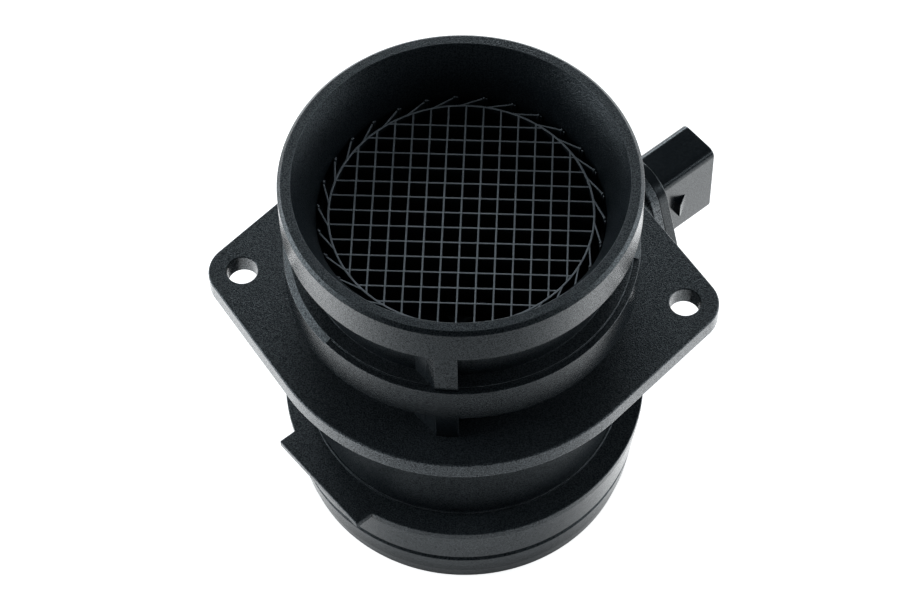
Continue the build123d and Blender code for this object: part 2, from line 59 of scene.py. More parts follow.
@dataclass(frozen=True)
class NodeTree:
    """Short hand for building a node tree.

    Args:
        tree: The node tree that is built.
    """

    tree: bpy.types.NodeTree

    def add(self, kind: str, **settings: object) -> bpy.types.Node:
        """Adds a node and sets its properties and its unlinked inputs.

        Args:
            kind: The node's type name, without the ShaderNode prefix.
            settings: Properties of the node, or inputs by name with spaces as underscores.

        Returns:
            The new node.
        """
        node = self.tree.nodes.new("ShaderNode" + kind)
        for key, value in settings.items():
            if hasattr(node, key):
                setattr(node, key, value)
            else:
                node.inputs[key.replace("_", " ")].default_value = value
        return node

    def join(self, source: Socket, target: Socket) -> None:
        """Links an output to an input."""
        self.tree.links.new(source, target)

    def feed(self, value: Input, target: Socket) -> None:
        """Links an output to an input, or sets the input to a plain value."""
        if isinstance(value, Socket):
            self.join(value, target)
        else:
            target.default_value = value

    def number(self, operation: str, *values: Input, clamp: bool = False) -> Socket:
        """Works out a number.

        Args:
            operation: Operation of the Math node.
            values: Its inputs in order, outputs of other nodes or plain numbers.
            clamp: Whether the result is held between 0 and 1.

        Returns:
            The result's output.
        """
        node = self.add("Math", operation=operation, use_clamp=clamp)
        for target, value in zip(node.inputs, values):
            self.feed(value, target)
        return node.outputs["Value"]

    def vector(self, operation: str, *values: Input, output: str = "Value") -> Socket:
        """Works out a vector, or a number from vectors.

        Args:
            operation: Operation of the Vector Math node.
            values: Its inputs in order, outputs of other nodes or plain vectors.
            output: Name of the output that is wanted.

        Returns:
            The result's output.
        """
        node = self.add("VectorMath", operation=operation)
        for target, value in zip(node.inputs, values):
            self.feed(value, target)
        return node.outputs[output]

    def upward(self, vector: Socket) -> Socket:
        """Upward part of a vector."""
        parts = self.add("SeparateXYZ")
        self.join(vector, parts.inputs["Vector"])
        return parts.outputs["Z"]

    def remap(
        self, value: Socket, low: float, high: float, start: float = 0.0, end: float = 1.0, **settings: object
    ) -> Socket:
        """Maps one span of numbers to another.

        Args:
            value: The number.
            low: Where its span starts.
            high: Where its span ends.
            start: Result at the start.
            end: Result at the end.
            settings: Other properties of the Map Range node.

        Returns:
            The result's output.
        """
        node = self.add("MapRange", From_Min=low, From_Max=high, To_Min=start, To_Max=end, **settings)
        self.join(value, node.inputs["Value"])
        return node.outputs["Result"]

    def mix(self, kind: str, factor: Input, first: Input, second: Input) -> Socket:
        """Mixes two numbers or two colours.

        Args:
            kind: FLOAT for numbers, RGBA for colours.
            factor: Share of the second one.
            first: Output of another node, or a plain value.
            second: Output of another node, or a plain value.

        Returns:
            The result's output.
        """
        node = self.add("Mix", data_type=kind)
        for name, value in (("Factor", factor), ("A", first), ("B", second)):
            self.feed(value, node.inputs[name])
        return node.outputs["Result"]

    def noise(self, place: Socket, scale: float, detail: float, **settings: object) -> Socket:
        """Noise at a place, with so many features to the metre."""
        node = self.add("TexNoise", Scale=scale, Detail=detail, **settings)
        self.join(place, node.inputs["Vector"])
        return node.outputs["Fac"]

    def close(self, surface: Socket, kind: str = "OutputMaterial") -> None:
        """Ends the tree with its output node."""
        self.join(surface, self.add(kind).inputs["Surface"])


def new_material(name: str) -> tuple[bpy.types.Material, NodeTree]:
    """Makes a material with an empty node tree.

    Args:
        name: Name of the material.

    Returns:
        The material and its tree.
    """
    material = bpy.data.materials.new(name)
    material.use_nodes = True
    material.node_tree.nodes.clear()
    return material, NodeTree(material.node_tree)


@dataclass(frozen=True)
class PlasticFinish:
    """Moulded plastic: grain, slow colour variation, raw level faces, drawn walls, painted edge highlights
    and painted glints.

    Args:
        name: Name of the material.
        dark: Colour in the hollows of the grain.
        light: Colour on the crests of the grain.
        painted_light_colour: Colour of the painted light: painted highlights on the outward edges, painted
            glints and painted lighter faces.
        roughness: Mean roughness of the drawn walls.
        raw_roughness: Mean roughness of the level faces.
        roughness_swing: How far the roughness varies.
        cloud_scale: Clouds of the slow colour variation per metre.
        grain_scale: Grains per metre.
        speck_scale: Share of that number that the specks have.
        pit_scale: Share of that number that the pits have.
        grain_depth: Height of the grain on the level faces.
        wall_grain: Share of that height on the walls.
        speckle: How strongly the grain shows in the colour.
        edge_radius: Reach of the painted edge highlights.
        edge_share: Strength of the painted edge highlights.
        patch_scale: Patches per metre in which the painted edge highlights are stronger or weaker.
        sheen: Tint of the reflections.
        gleam_swing: How far the strength of the reflections varies from speck to speck.
        gleam: Mean strength of the reflections.
        raw_bore: Radius about the tube's axis inside which every wall is partly raw.
        raw_bore_share: How raw those walls are.
        raw_painted_light: How far the raw faces take the painted light colour: painted light that makes level
            tops lighter.
        glint_radius: Radius about the tube's axis beyond which pale specks are painted on the walls as
            glints.
        glint_rise: Width over which the painted glints grow to their full strength.
        glint_start: Share of that strength at the radius.
        glint_share: Strength of the painted glints.
    """

    name: str
    dark: Colour
    light: Colour
    painted_light_colour: Colour
    roughness: float = 0.22
    raw_roughness: float = 0.45
    roughness_swing: float = 0.03
    cloud_scale: float = 60.0
    grain_scale: float = 5000.0
    speck_scale: float = 0.68
    pit_scale: float = 0.7
    grain_depth: float = 0.00006
    wall_grain: float = 0.4
    speckle: float = 0.8
    edge_radius: float = 0.0004
    edge_share: float = 0.5
    patch_scale: float = 220.0
    sheen: Colour = (0.86, 0.95, 1.0)
    gleam_swing: float = 0.33
    gleam: float = 0.5
    raw_bore: float = 0.0
    raw_bore_share: float = 0.42
    raw_painted_light: float = 0.0
    glint_radius: float = 1.0
    glint_rise: float = 0.006
    glint_start: float = 0.45
    glint_share: float = 0.8

    def build(self) -> bpy.types.Material:
        """Builds the node material.

        Returns:
            The finished material.
        """
        material, nodes = new_material(self.name)
        place = nodes.add("TexCoord").outputs["Object"]
        clouds = nodes.noise(place, self.cloud_scale, detail=4.0, Roughness=0.6)
        grain = nodes.noise(place, self.grain_scale, detail=2.0, Roughness=0.6)
        specks = nodes.noise(place, self.grain_scale * self.speck_scale, detail=1.0)
        reach = self._reach(nodes, place)
        raw = self._raw_faces(nodes, reach)
        # Painted light mixed into the colour: highlights on outward edges, glints on the outer walls and
        # lighter level faces.
        painted_edge_and_glint = nodes.number("MAXIMUM", self._edges(nodes, place), self._painted_glints(nodes, reach, raw, specks))
        # Raw level faces made lighter by raw_painted_light: painted light on the tops.
        painted_light_share = nodes.number("MAXIMUM", painted_edge_and_glint, nodes.number("MULTIPLY", raw, self.raw_painted_light))
        colour = nodes.mix("RGBA", painted_light_share, self._colour(nodes, clouds, grain), (*self.painted_light_colour, 1.0))
        gleam = nodes.remap(
            specks, NOISE_LOW, NOISE_HIGH, self.gleam - self.gleam_swing, self.gleam + self.gleam_swing
        )
        shader = nodes.add("BsdfPrincipled")
        shader.inputs["Specular Tint"].default_value = (*self.sheen, 1.0)
        nodes.join(gleam, shader.inputs["Specular IOR Level"])
        nodes.join(colour, shader.inputs["Base Color"])
        nodes.join(self._shine(nodes, clouds, raw), shader.inputs["Roughness"])
        nodes.join(self._relief(nodes, place, grain, raw), shader.inputs["Normal"])
        nodes.close(shader.outputs["BSDF"])
        return material

    def _reach(self, nodes: NodeTree, place: Socket) -> Socket:
        """Distance from the tube's axis."""
        return nodes.vector("LENGTH", nodes.vector("MULTIPLY", place, (1.0, 1.0, 0.0), output="Vector"))

    def _raw_faces(self, nodes: NodeTree, reach: Socket) -> Socket:
        """Mask of the faces that the mould leaves raw: the level ones and the mouth's wall.

        Args:
            nodes: The tree that is built.
            reach: Distance from the tube's axis.

        Returns:
            The mask's output, 1 on a raw face and 0 on a drawn wall.
        """
        steep, flat = 0.5, 0.9
        upright = nodes.upward(nodes.add("NewGeometry").outputs["True Normal"])
        level = nodes.remap(nodes.number("ABSOLUTE", upright), steep, flat)
        inside = nodes.number("LESS_THAN", reach, self.raw_bore)
        return nodes.number("MAXIMUM", level, nodes.number("MULTIPLY", inside, self.raw_bore_share))

    def _painted_glints(self, nodes: NodeTree, reach: Socket, raw: Socket, specks: Socket) -> Socket:
        """Mask of the outermost walls, where pale specks are painted as glints.

        Args:
            nodes: The tree that is built.
            reach: Distance from the tube's axis.
            raw: Mask of the raw faces.
            specks: Fine noise.

        Returns:
            The mask's output.
        """
        outer = nodes.remap(reach, self.glint_radius, self.glint_radius + self.glint_rise, self.glint_start)
        beyond = nodes.number("GREATER_THAN", reach, self.glint_radius)
        strong = nodes.number("MULTIPLY", outer, beyond)
        walls = nodes.number("SUBTRACT", strong, raw, clamp=True)
        share = nodes.remap(specks, NOISE_LOW, NOISE_HIGH, 0.0, self.glint_share)
        return nodes.number("MULTIPLY", walls, share)

    def _shine(self, nodes: NodeTree, clouds: Socket, raw: Socket) -> Socket:
        """Roughness that varies slowly about one mean on drawn walls and another on raw faces.

        Args:
            nodes: The tree that is built.
            clouds: Slow noise.
            raw: Mask of the raw faces.

        Returns:
            The roughness output.
        """
        low, high, swing = 0.3, 0.7, self.roughness_swing
        drawn, rough = (
            nodes.remap(clouds, low, high, mean - swing, mean + swing)
            for mean in (self.roughness, self.raw_roughness)
        )
        return nodes.mix("FLOAT", raw, drawn, rough)

    def _relief(self, nodes: NodeTree, place: Socket, grain: Socket, raw: Socket) -> Socket:
        """Grain and pits as a bump, full on raw faces and weaker on drawn walls.

        Args:
            nodes: The tree that is built.
            place: Object coordinates.
            grain: Fine noise.
            raw: Mask of the raw faces.

        Returns:
            The bumped normal.
        """
        pits = nodes.add("TexVoronoi", Scale=self.grain_scale * self.pit_scale)
        nodes.join(place, pits.inputs["Vector"])
        relief = nodes.number("ADD", grain, pits.outputs["Distance"])
        share = nodes.remap(raw, 0.0, 1.0, self.wall_grain)
        bump = nodes.add("Bump", Strength=1.0, Distance=self.grain_depth)
        nodes.join(nodes.number("MULTIPLY", relief, share), bump.inputs["Height"])
        return bump.outputs["Normal"]

    def _colour(self, nodes: NodeTree, clouds: Socket, grain: Socket) -> Socket:
        """Colour between dark and light, from the slow noise and the grain.

        Args:
            nodes: The tree that is built.
            clouds: Slow noise.
            grain: Fine noise.

        Returns:
            The colour output.
        """
        half = self.speckle / 2
        fine = nodes.remap(grain, NOISE_LOW, NOISE_HIGH, -half, half, clamp=False)
        tone = nodes.number("ADD", clouds, fine, clamp=True)
        return nodes.mix("RGBA", tone, (*self.dark, 1.0), (*self.light, 1.0))

    def _edges(self, nodes: NodeTree, place: Socket) -> Socket:
        """Mask of the outward edges, broken up by a noise, where highlights are painted into the colour.

        Args:
            nodes: The tree that is built.
            place: Object coordinates.

        Returns:
            The mask's output, from 0 on a face to edge_share on an edge.
        """
        flat, sharp, least, samples = 0.995, 0.9, 0.25, 4
        shut, clear, reach = 0.8, 0.97, self.edge_radius * 4.0
        soft = nodes.add("Bevel", samples=samples, Radius=self.edge_radius)
        plain = nodes.add("NewGeometry")
        alike = nodes.vector("DOT_PRODUCT", soft.outputs["Normal"], plain.outputs["Normal"])
        turn = nodes.remap(alike, flat, sharp)
        patches = nodes.remap(nodes.noise(place, self.patch_scale, detail=3.0), NOISE_LOW, NOISE_HIGH, least)
        mask = nodes.number("MULTIPLY", turn, patches)
        room = nodes.add("AmbientOcclusion", samples=samples, Distance=reach)
        outward = nodes.remap(room.outputs["AO"], shut, clear, 0.0, self.edge_share)
        return nodes.number("MULTIPLY", mask, outward)


@dataclass(frozen=True)
class MetalFinish:
    """Bare or plated metal with rolling marks or a fine grain.

    Args:
        name: Name of the material.
        dark: Darker tint.
        light: Lighter tint.
        roughness: Mean roughness.
        stretch: Scale of the marks along each axis.
        grain_scale: Marks per metre.
        grain_depth: Height of the marks.
    """

    name: str
    dark: Colour
    light: Colour
    roughness: float = 0.32
    stretch: tuple[float, float, float] = (1.0, 1.0, 1.0)
    grain_scale: float = 1800.0
    grain_depth: float = 0.00001

    def build(self) -> bpy.types.Material:
        """Builds the node material.

        Returns:
            The finished material.
        """
        swing = 0.25
        material, nodes = new_material(self.name)
        mapping = nodes.add("Mapping", Scale=self.stretch)
        nodes.join(nodes.add("TexCoord").outputs["Object"], mapping.inputs["Vector"])
        marks = nodes.noise(mapping.outputs["Vector"], self.grain_scale, detail=3.0)
        tone = nodes.mix("RGBA", marks, (*self.dark, 1.0), (*self.light, 1.0))
        shine = nodes.remap(marks, 0.0, 1.0, self.roughness * (1.0 - swing), self.roughness * (1.0 + swing))
        bump = nodes.add("Bump", Strength=1.0, Distance=self.grain_depth)
        nodes.join(marks, bump.inputs["Height"])
        shader = nodes.add("BsdfPrincipled", Metallic=1.0)
        nodes.join(tone, shader.inputs["Base Color"])
        nodes.join(shine, shader.inputs["Roughness"])
        nodes.join(bump.outputs["Normal"], shader.inputs["Normal"])
        nodes.close(shader.outputs["BSDF"])
        return material


@dataclass(frozen=True)
class Finishes:
    """Every finish of the sensor, built once.

    Args:
        housing: Black moulding of the tube.
        grid: Insert in the mouth.
        module: Plug-in module and its covers.
        seal: Rubber ring.
        plate: Metal carrier.
        board: Ceramic board.
        chip: Hot-film chip.
        bead: Coated bead on its leads.
        terminal: Contacts.
        screw: Plated screws.
    """

    housing: bpy.types.Material
    grid: bpy.types.Material
    module: bpy.types.Material
    seal: bpy.types.Material
    plate: bpy.types.Material
    board: bpy.types.Material
    chip: bpy.types.Material
    bead: bpy.types.Material
    terminal: bpy.types.Material
    screw: bpy.types.Material

    @classmethod
    def build(cls) -> "Finishes":
        """Builds every material.

        Returns:
            The set of finishes.
        """
        # The pale third colour of each plastic finish is painted light: edge highlights, glints and lighter
        # tops.
        return cls(
            # The housing gets painted glints on its walls beyond the rim's radius.
            housing=PlasticFinish(
                "glass_filled_black",
                dark=(0.0022, 0.0036, 0.0048), light=(0.0064, 0.0092, 0.0118), painted_light_colour=(0.16, 0.17, 0.18),
                edge_radius=0.00025, edge_share=1.0, raw_bore=0.0375, glint_radius=0.0408,
            ).build(),
            # The grid's level tops take the pale colour: painted light on the tops of its walls.
            grid=PlasticFinish(
                "grid_black",
                dark=(0.009, 0.0115, 0.014), light=(0.018, 0.022, 0.026), painted_light_colour=(0.23, 0.25, 0.27),
                roughness=0.32, edge_radius=0.00012, edge_share=1.0, raw_painted_light=0.9,
            ).build(),
            module=PlasticFinish(
                "module_black",
                dark=(0.002, 0.003, 0.004), light=(0.0055, 0.0075, 0.0095), painted_light_colour=(0.06, 0.066, 0.072),
                raw_roughness=0.2, grain_depth=0.00001, gleam=0.4, gleam_swing=0.15, edge_radius=0.0003,
            ).build(),
            seal=PlasticFinish(
                "seal_rubber",
                dark=(0.012, 0.012, 0.012), light=(0.02, 0.02, 0.02), painted_light_colour=(0.03, 0.03, 0.03),
                roughness=0.7, raw_roughness=0.7, grain_depth=0.00002,
            ).build(),
            plate=MetalFinish(
                "rolled_plate", dark=(0.62, 0.62, 0.64), light=(0.78, 0.78, 0.8), stretch=(0.1, 0.1, 4.0)
            ).build(),
            board=PlasticFinish(
                "board_ceramic",
                dark=(0.7, 0.69, 0.64), light=(0.8, 0.79, 0.74), painted_light_colour=(0.84, 0.83, 0.8),
                roughness=0.6, raw_roughness=0.6, grain_depth=0.00001,
            ).build(),
            chip=MetalFinish(
                "chip_film", dark=(0.26, 0.28, 0.36), light=(0.4, 0.42, 0.5), roughness=0.12
            ).build(),
            bead=PlasticFinish(
                "bead_coating",
                dark=(0.08, 0.09, 0.1), light=(0.14, 0.15, 0.17), painted_light_colour=(0.2, 0.21, 0.22),
                roughness=0.2, raw_roughness=0.2, grain_depth=0.00001,
            ).build(),
            terminal=MetalFinish(
                "tinned_contact", dark=(0.6, 0.59, 0.56), light=(0.78, 0.77, 0.74), stretch=(4.0, 4.0, 0.3)
            ).build(),
            screw=MetalFinish(
                "zinc_screw", dark=(0.38, 0.38, 0.39), light=(0.52, 0.52, 0.53), roughness=0.38
            ).build(),
        )


Point = tuple[float, float]
Station = tuple[float, float]
ROUND_STEPS = 4
FINE_STEP = math.radians(1.5)
CURVE_STEP = math.radians(3.0)
COARSE_STEP = math.radians(30.0)


@dataclass(frozen=True)
class Disc:
    """Circle that an outline is drawn round.

    Args:
        x: Centre, first coordinate.
        y: Centre, second coordinate.
        radius: Radius of the circle.
    """

    x: float
    y: float
    radius: float


class Cut(Enum):
    """How one mesh acts on another."""

    JOIN = "UNION"
    REMOVE = "DIFFERENCE"
    KEEP = "INTERSECT"


def hull_loop(discs: list[Disc], inset: float, step: float = CURVE_STEP) -> list[Point]:
    """Draws a tight loop round some circles.

    Args:
        discs: The circles, in counter-clockwise order.
        inset: How far the loop moves inwards.
        step: Largest angle between two points of an arc.

    Returns:
        The loop's points, as many for every inset.
    """
    if len(discs) == 1:
        count = math.ceil(math.tau / step)
        starts = [(discs[0], 0.0, math.tau * (count - 1) / count, count)]
    else:
        normals = []
        for here, there in zip(discs, discs[1:] + discs[:1]):
            dx, dy = there.x - here.x, there.y - here.y
            lean = math.acos((here.radius - there.radius) / math.hypot(dx, dy))
            normals.append(math.atan2(dy, dx) - lean)
        starts = []
        for index, disc in enumerate(discs):
            first = normals[index - 1]
            span = (normals[index] - first) % math.tau
            starts.append((disc, first, span, max(2, math.ceil(span / step) + 1)))
    loop = []
    for disc, first, span, count in starts:
        for index in range(count):
            angle = first + span * index / (count - 1)
            reach = disc.radius - inset
            loop.append((disc.x + reach * math.cos(angle), disc.y + reach * math.sin(angle)))
    return loop


def corner_discs(corners: list[Point], radius: float) -> list[Disc]:
    """Circles that round the corners of a convex polygon.

    Args:
        corners: Corners in counter-clockwise order.
        radius: Radius at each corner.

    Returns:
        One circle for each corner, touching both of its sides.
    """
    discs = []
    for before, here, after in zip(corners[-1:] + corners[:-1], corners, corners[1:] + corners[:1]):
        into = Vector(here) - Vector(before)
        out = Vector(after) - Vector(here)
        into.normalize()
        out.normalize()
        bisector = (out - into).normalized()
        sine = abs(into.x * bisector.y - into.y * bisector.x)
        centre = Vector(here) + bisector * (radius / sine)
        discs.append(Disc(centre.x, centre.y, radius))
    return discs


def rounded_ends(start: float, end: float, first: float, last: float) -> list[Station]:
    """Stations of a solid whose two end faces have rounded edges.

    Args:
        start: Place of the first face.
        end: Place of the last face.
        first: Edge radius at the first face, 0 for a sharp edge.
        last: Edge radius at the last face, 0 for a sharp edge.

    Returns:
        Pairs of a place and an inset.
    """
    quarter = [math.pi / 2 * index / ROUND_STEPS for index in range(ROUND_STEPS + 1)]
    stations = [(start, 0.0)]
    if first:
        stations = [(start + first * (1 - math.cos(a)), first * (1 - math.sin(a))) for a in quarter]
    finish = [(end, 0.0)]
    if last:
        finish = [(end - last * (1 - math.cos(a)), last * (1 - math.sin(a))) for a in reversed(quarter)]
    return stations + finish


def flared_ends(start: float, end: float, lip: float, past: float) -> list[Station]:
    """Stations of a cutter that leaves rounded lips at both of its faces.

    Args:
        start: Place of the first face.
        end: Place of the last face.
        lip: Radius of the lips.
        past: How far the cutter runs past the faces.

    Returns:
        Pairs of a place and an inset.
    """
    inner = [(place, -inset) for place, inset in rounded_ends(start, end, lip, lip)]
    return [(start - past, -lip), *inner, (end + past, -lip)]


def new_object(name: str, vertices: list[Vector], faces: list[list[int]]) -> bpy.types.Object:
    """Makes an object from points and faces, with its faces turned outwards.

    Args:
        name: Name of the object.
        vertices: Points.
        faces: Faces, as indices of the points.

    Returns:
        The linked object.
    """
    mesh = bpy.data.meshes.new(name)
    mesh.from_pydata([tuple(v) for v in vertices], [], faces)
    work = bmesh.new()
    work.from_mesh(mesh)
    bmesh.ops.remove_doubles(work, verts=work.verts, dist=1e-7)
    bmesh.ops.recalc_face_normals(work, faces=work.faces)
    work.to_mesh(mesh)
    work.free()
    made = bpy.data.objects.new(name, mesh)
    bpy.context.scene.collection.objects.link(made)
    return made


def puck(
    name: str,
    discs: list[Disc],
    stations: list[Station],
    place: Matrix = Matrix.Identity(4),
    step: float = CURVE_STEP,
) -> bpy.types.Object:
    """Draws an outline out along its normal, with an inset at each station.

    Args:
        name: Name of the object.
        discs: Circles of the outline, in counter-clockwise order.
        stations: Pairs of a place on the normal and an inset.
        place: Where the outline's plane lies.
        step: Largest angle between two points of an arc.

    Returns:
        The closed solid.
    """
    vertices = []
    faces = []
    count = len(hull_loop(discs, 0.0, step))
    for distance, inset in stations:
        vertices += [place @ Vector((x, y, distance)) for x, y in hull_loop(discs, inset, step)]
    for row in range(len(stations) - 1):
        low, high = row * count, (row + 1) * count
        for index in range(count):
            after = (index + 1) % count
            faces.append([low + index, low + after, high + after, high + index])
    faces.append(list(range(count)))
    faces.append(list(range(len(vertices) - count, len(vertices))))
    return new_object(name, vertices, faces)


@dataclass(frozen=True)
class Corner:
    """Corner of a profile that is turned about an axis.

    Args:
        radius: Distance from the axis.
        height: Place along the axis.
        fillet: Radius of the rounded corner, 0 for a sharp one.
    """

    radius: float
    height: float
    fillet: float = 0.0


def rounded_profile(corners: list[Corner], closed: bool) -> list[Point]:
    """Rounds the corners of a profile.

    Args:
        corners: The profile's corners in order.
        closed: Whether the last corner joins the first.

    Returns:
        Points of the rounded profile, as many for every set of corners with the same fillets.
    """
    points = []
    last = len(corners) - 1
    for index, corner in enumerate(corners):
        here = Vector((corner.radius, corner.height))
        ends = not closed and index in (0, last)
        if ends or not corner.fillet:
            points.append((here.x, here.y))
            continue
        before = corners[index - 1]
        after = corners[(index + 1) % len(corners)]
        back = (Vector((before.radius, before.height)) - here).normalized()
        ahead = (Vector((after.radius, after.height)) - here).normalized()
        turn = back.angle(ahead)
        reach = corner.fillet / math.tan(turn / 2)
        start, end = here + back * reach, here + ahead * reach
        for part in range(ROUND_STEPS + 1):
            share = part / ROUND_STEPS
            blend = start * (1 - share) ** 2 + here * (2 * share * (1 - share)) + end * share**2
            points.append((blend.x, blend.y))
    return points


def lathe(
    name: str,
    profile: Callable[[float], list[Point]],
    azimuths: list[float],
    closed: bool,
    place: Matrix = Matrix.Identity(4),
) -> bpy.types.Object:
    """Turns a profile about the Z axis.

    Args:
        name: Name of the object.
        profile: Gives the profile's points at an azimuth in degrees, always as many.
        azimuths: Azimuths of the columns, in rising order.
        closed: Whether the profile is a loop; an open one is capped at both ends.
        place: Where the axis lies.

    Returns:
        The closed solid.
    """
    vertices = []
    faces = []
    for azimuth in azimuths:
        angle = math.radians(azimuth)
        for radius, height in profile(azimuth):
            vertices.append(place @ Vector((radius * math.cos(angle), radius * math.sin(angle), height)))
    count = len(vertices) // len(azimuths)
    columns = len(azimuths)
    for column in range(columns):
        here, there = column * count, (column + 1) % columns * count
        for row in range(count if closed else count - 1):
            after = (row + 1) % count
            faces.append([here + row, there + row, there + after, here + after])
    if not closed:
        faces.append([column * count for column in range(columns)])
        faces.append([column * count + count - 1 for column in range(columns)])
    return new_object(name, vertices, faces)


def welded_copy(name: str, solid: bpy.types.Object) -> bpy.types.Object:
    """Copies a solid's mesh with its faces joined along their edges.

    Args:
        name: Name of the copy.
        solid: The solid, which isn't touched.

    Returns:
        The copy.
    """
    points = [solid.matrix_world @ vertex.co for vertex in solid.data.vertices]
    return new_object(name, points, [list(face.vertices) for face in solid.data.polygons])


def even_turn(columns: int) -> list[float]:
    """Evenly spread azimuths of a full turn."""
    return [360.0 * index / columns for index in range(columns)]


def carve(target: bpy.types.Object, cut: Cut, tools: list[bpy.types.Object]) -> None:
    """Joins, removes or intersects meshes with a target and deletes them.

    Args:
        target: The mesh that is kept and changed.
        cut: What the tools do to it.
        tools: The meshes that act on it.
    """
    for index, tool in enumerate(tools):
        modifier = target.modifiers.new(f"cut_{index}", "BOOLEAN")
        modifier.operation = cut.value
        modifier.solver = "MANIFOLD"
        modifier.object = tool
    shaped = bpy.data.meshes.new_from_object(target.evaluated_get(bpy.context.evaluated_depsgraph_get()))
    target.modifiers.clear()
    target.data = shaped
    for tool in tools:
        bpy.data.objects.remove(tool)


def gather(name: str, parts: list[bpy.types.Object]) -> bpy.types.Object:
    """Puts separate meshes that don't touch into one object.

    Args:
        name: Name of the new object.
        parts: The meshes, which are deleted.

    Returns:
        The new object.
    """
    work = bmesh.new()
    for part in parts:
        work.from_mesh(part.data)
        bpy.data.objects.remove(part)
    mesh = bpy.data.meshes.new(name)
    work.to_mesh(mesh)
    work.free()
    made = bpy.data.objects.new(name, mesh)
    bpy.context.scene.collection.objects.link(made)
    return made


def dress(
    piece: bpy.types.Object,
    material: bpy.types.Material,
    nodes: list[str],
    crease: float = 32.0,
) -> None:
    """Smooths a finished mesh, gives it its finish and puts it in its solid's place.

    Args:
        piece: The mesh.
        material: Its finish.
        nodes: Solids that it stands for.
        crease: Angle above which an edge stays sharp, in degrees.
    """
    piece.data.materials.clear()
    piece.data.materials.append(material)
    piece.data.shade_smooth()
    piece.data.set_sharp_from_angle(angle=math.radians(crease))
    weights = piece.modifiers.new("face_weights", "WEIGHTED_NORMAL")
    weights.keep_sharp = True
    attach(piece, BODY)
    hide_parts(*nodes)
    log.info("%s: %d faces, in place of %s", piece.name, len(piece.data.polygons), ", ".join(nodes))


@dataclass(frozen=True)
class PortPlan:
    """Lines and outlines that the housing's port, the module and its screws share.

    Args:
        azimuth: Direction of the module's axis from the tube's axis, in degrees.
        height: Height of the module's axis.
        face: Distance of the port's face from the tube's axis.
        seat: Distance of the module plate's outer face, where the screws sit.
        ear_reach: Distance of the screws from the middle.
        ear_drop: Distance of the screws below the module's axis.
        ear_radius: Radius of the plate round a screw.
        crown_rise: Height of the plate's upper circle above the module's axis.
        crown_radius: Radius of that circle.
    """

    azimuth: float = 45.0
    height: float = 0.04675
    face: float = 0.054
    seat: float = 0.0566
    ear_reach: float = 0.0106
    ear_drop: float = 0.01725
    ear_radius: float = 0.005
    crown_rise: float = 0.00675
    crown_radius: float = 0.008

    def turn(self) -> Matrix:
        """Turn of the X axis to the module's axis."""
        return Matrix.Rotation(math.radians(self.azimuth), 4, "Z")

    def plane(self) -> Matrix:
        """Plane across the module's axis: x runs across, y up, the normal away from the tube."""
        return self.turn() @ Matrix(((0, 0, 1, 0), (1, 0, 0, 0), (0, 1, 0, 0), (0, 0, 0, 1)))

    def oblong(self, width: float, height: float) -> list[Disc]:
        """Upright oblong about the module's axis."""
        reach = (height - width) / 2
        return [Disc(0.0, self.height - reach, width / 2), Disc(0.0, self.height + reach, width / 2)]

    def box(self, width: float, height: float) -> list[Point]:
        """Corners of an upright rectangle about the module's axis."""
        low, high = self.height - height / 2, self.height + height / 2
        return [(-width / 2, low), (width / 2, low), (width / 2, high), (-width / 2, high)]

    def ears(self) -> list[Point]:
        """Places of the two screws, across and up."""
        up = self.height - self.ear_drop
        return [(-self.ear_reach, up), (self.ear_reach, up)]

    def plate(self) -> list[Disc]:
        """Circles of the outline that the port's plate and the module's plate share."""
        left, right = (Disc(x, y, self.ear_radius) for x, y in self.ears())
        return [right, Disc(0.0, self.height + self.crown_rise, self.crown_radius), left]


PORT = PortPlan()


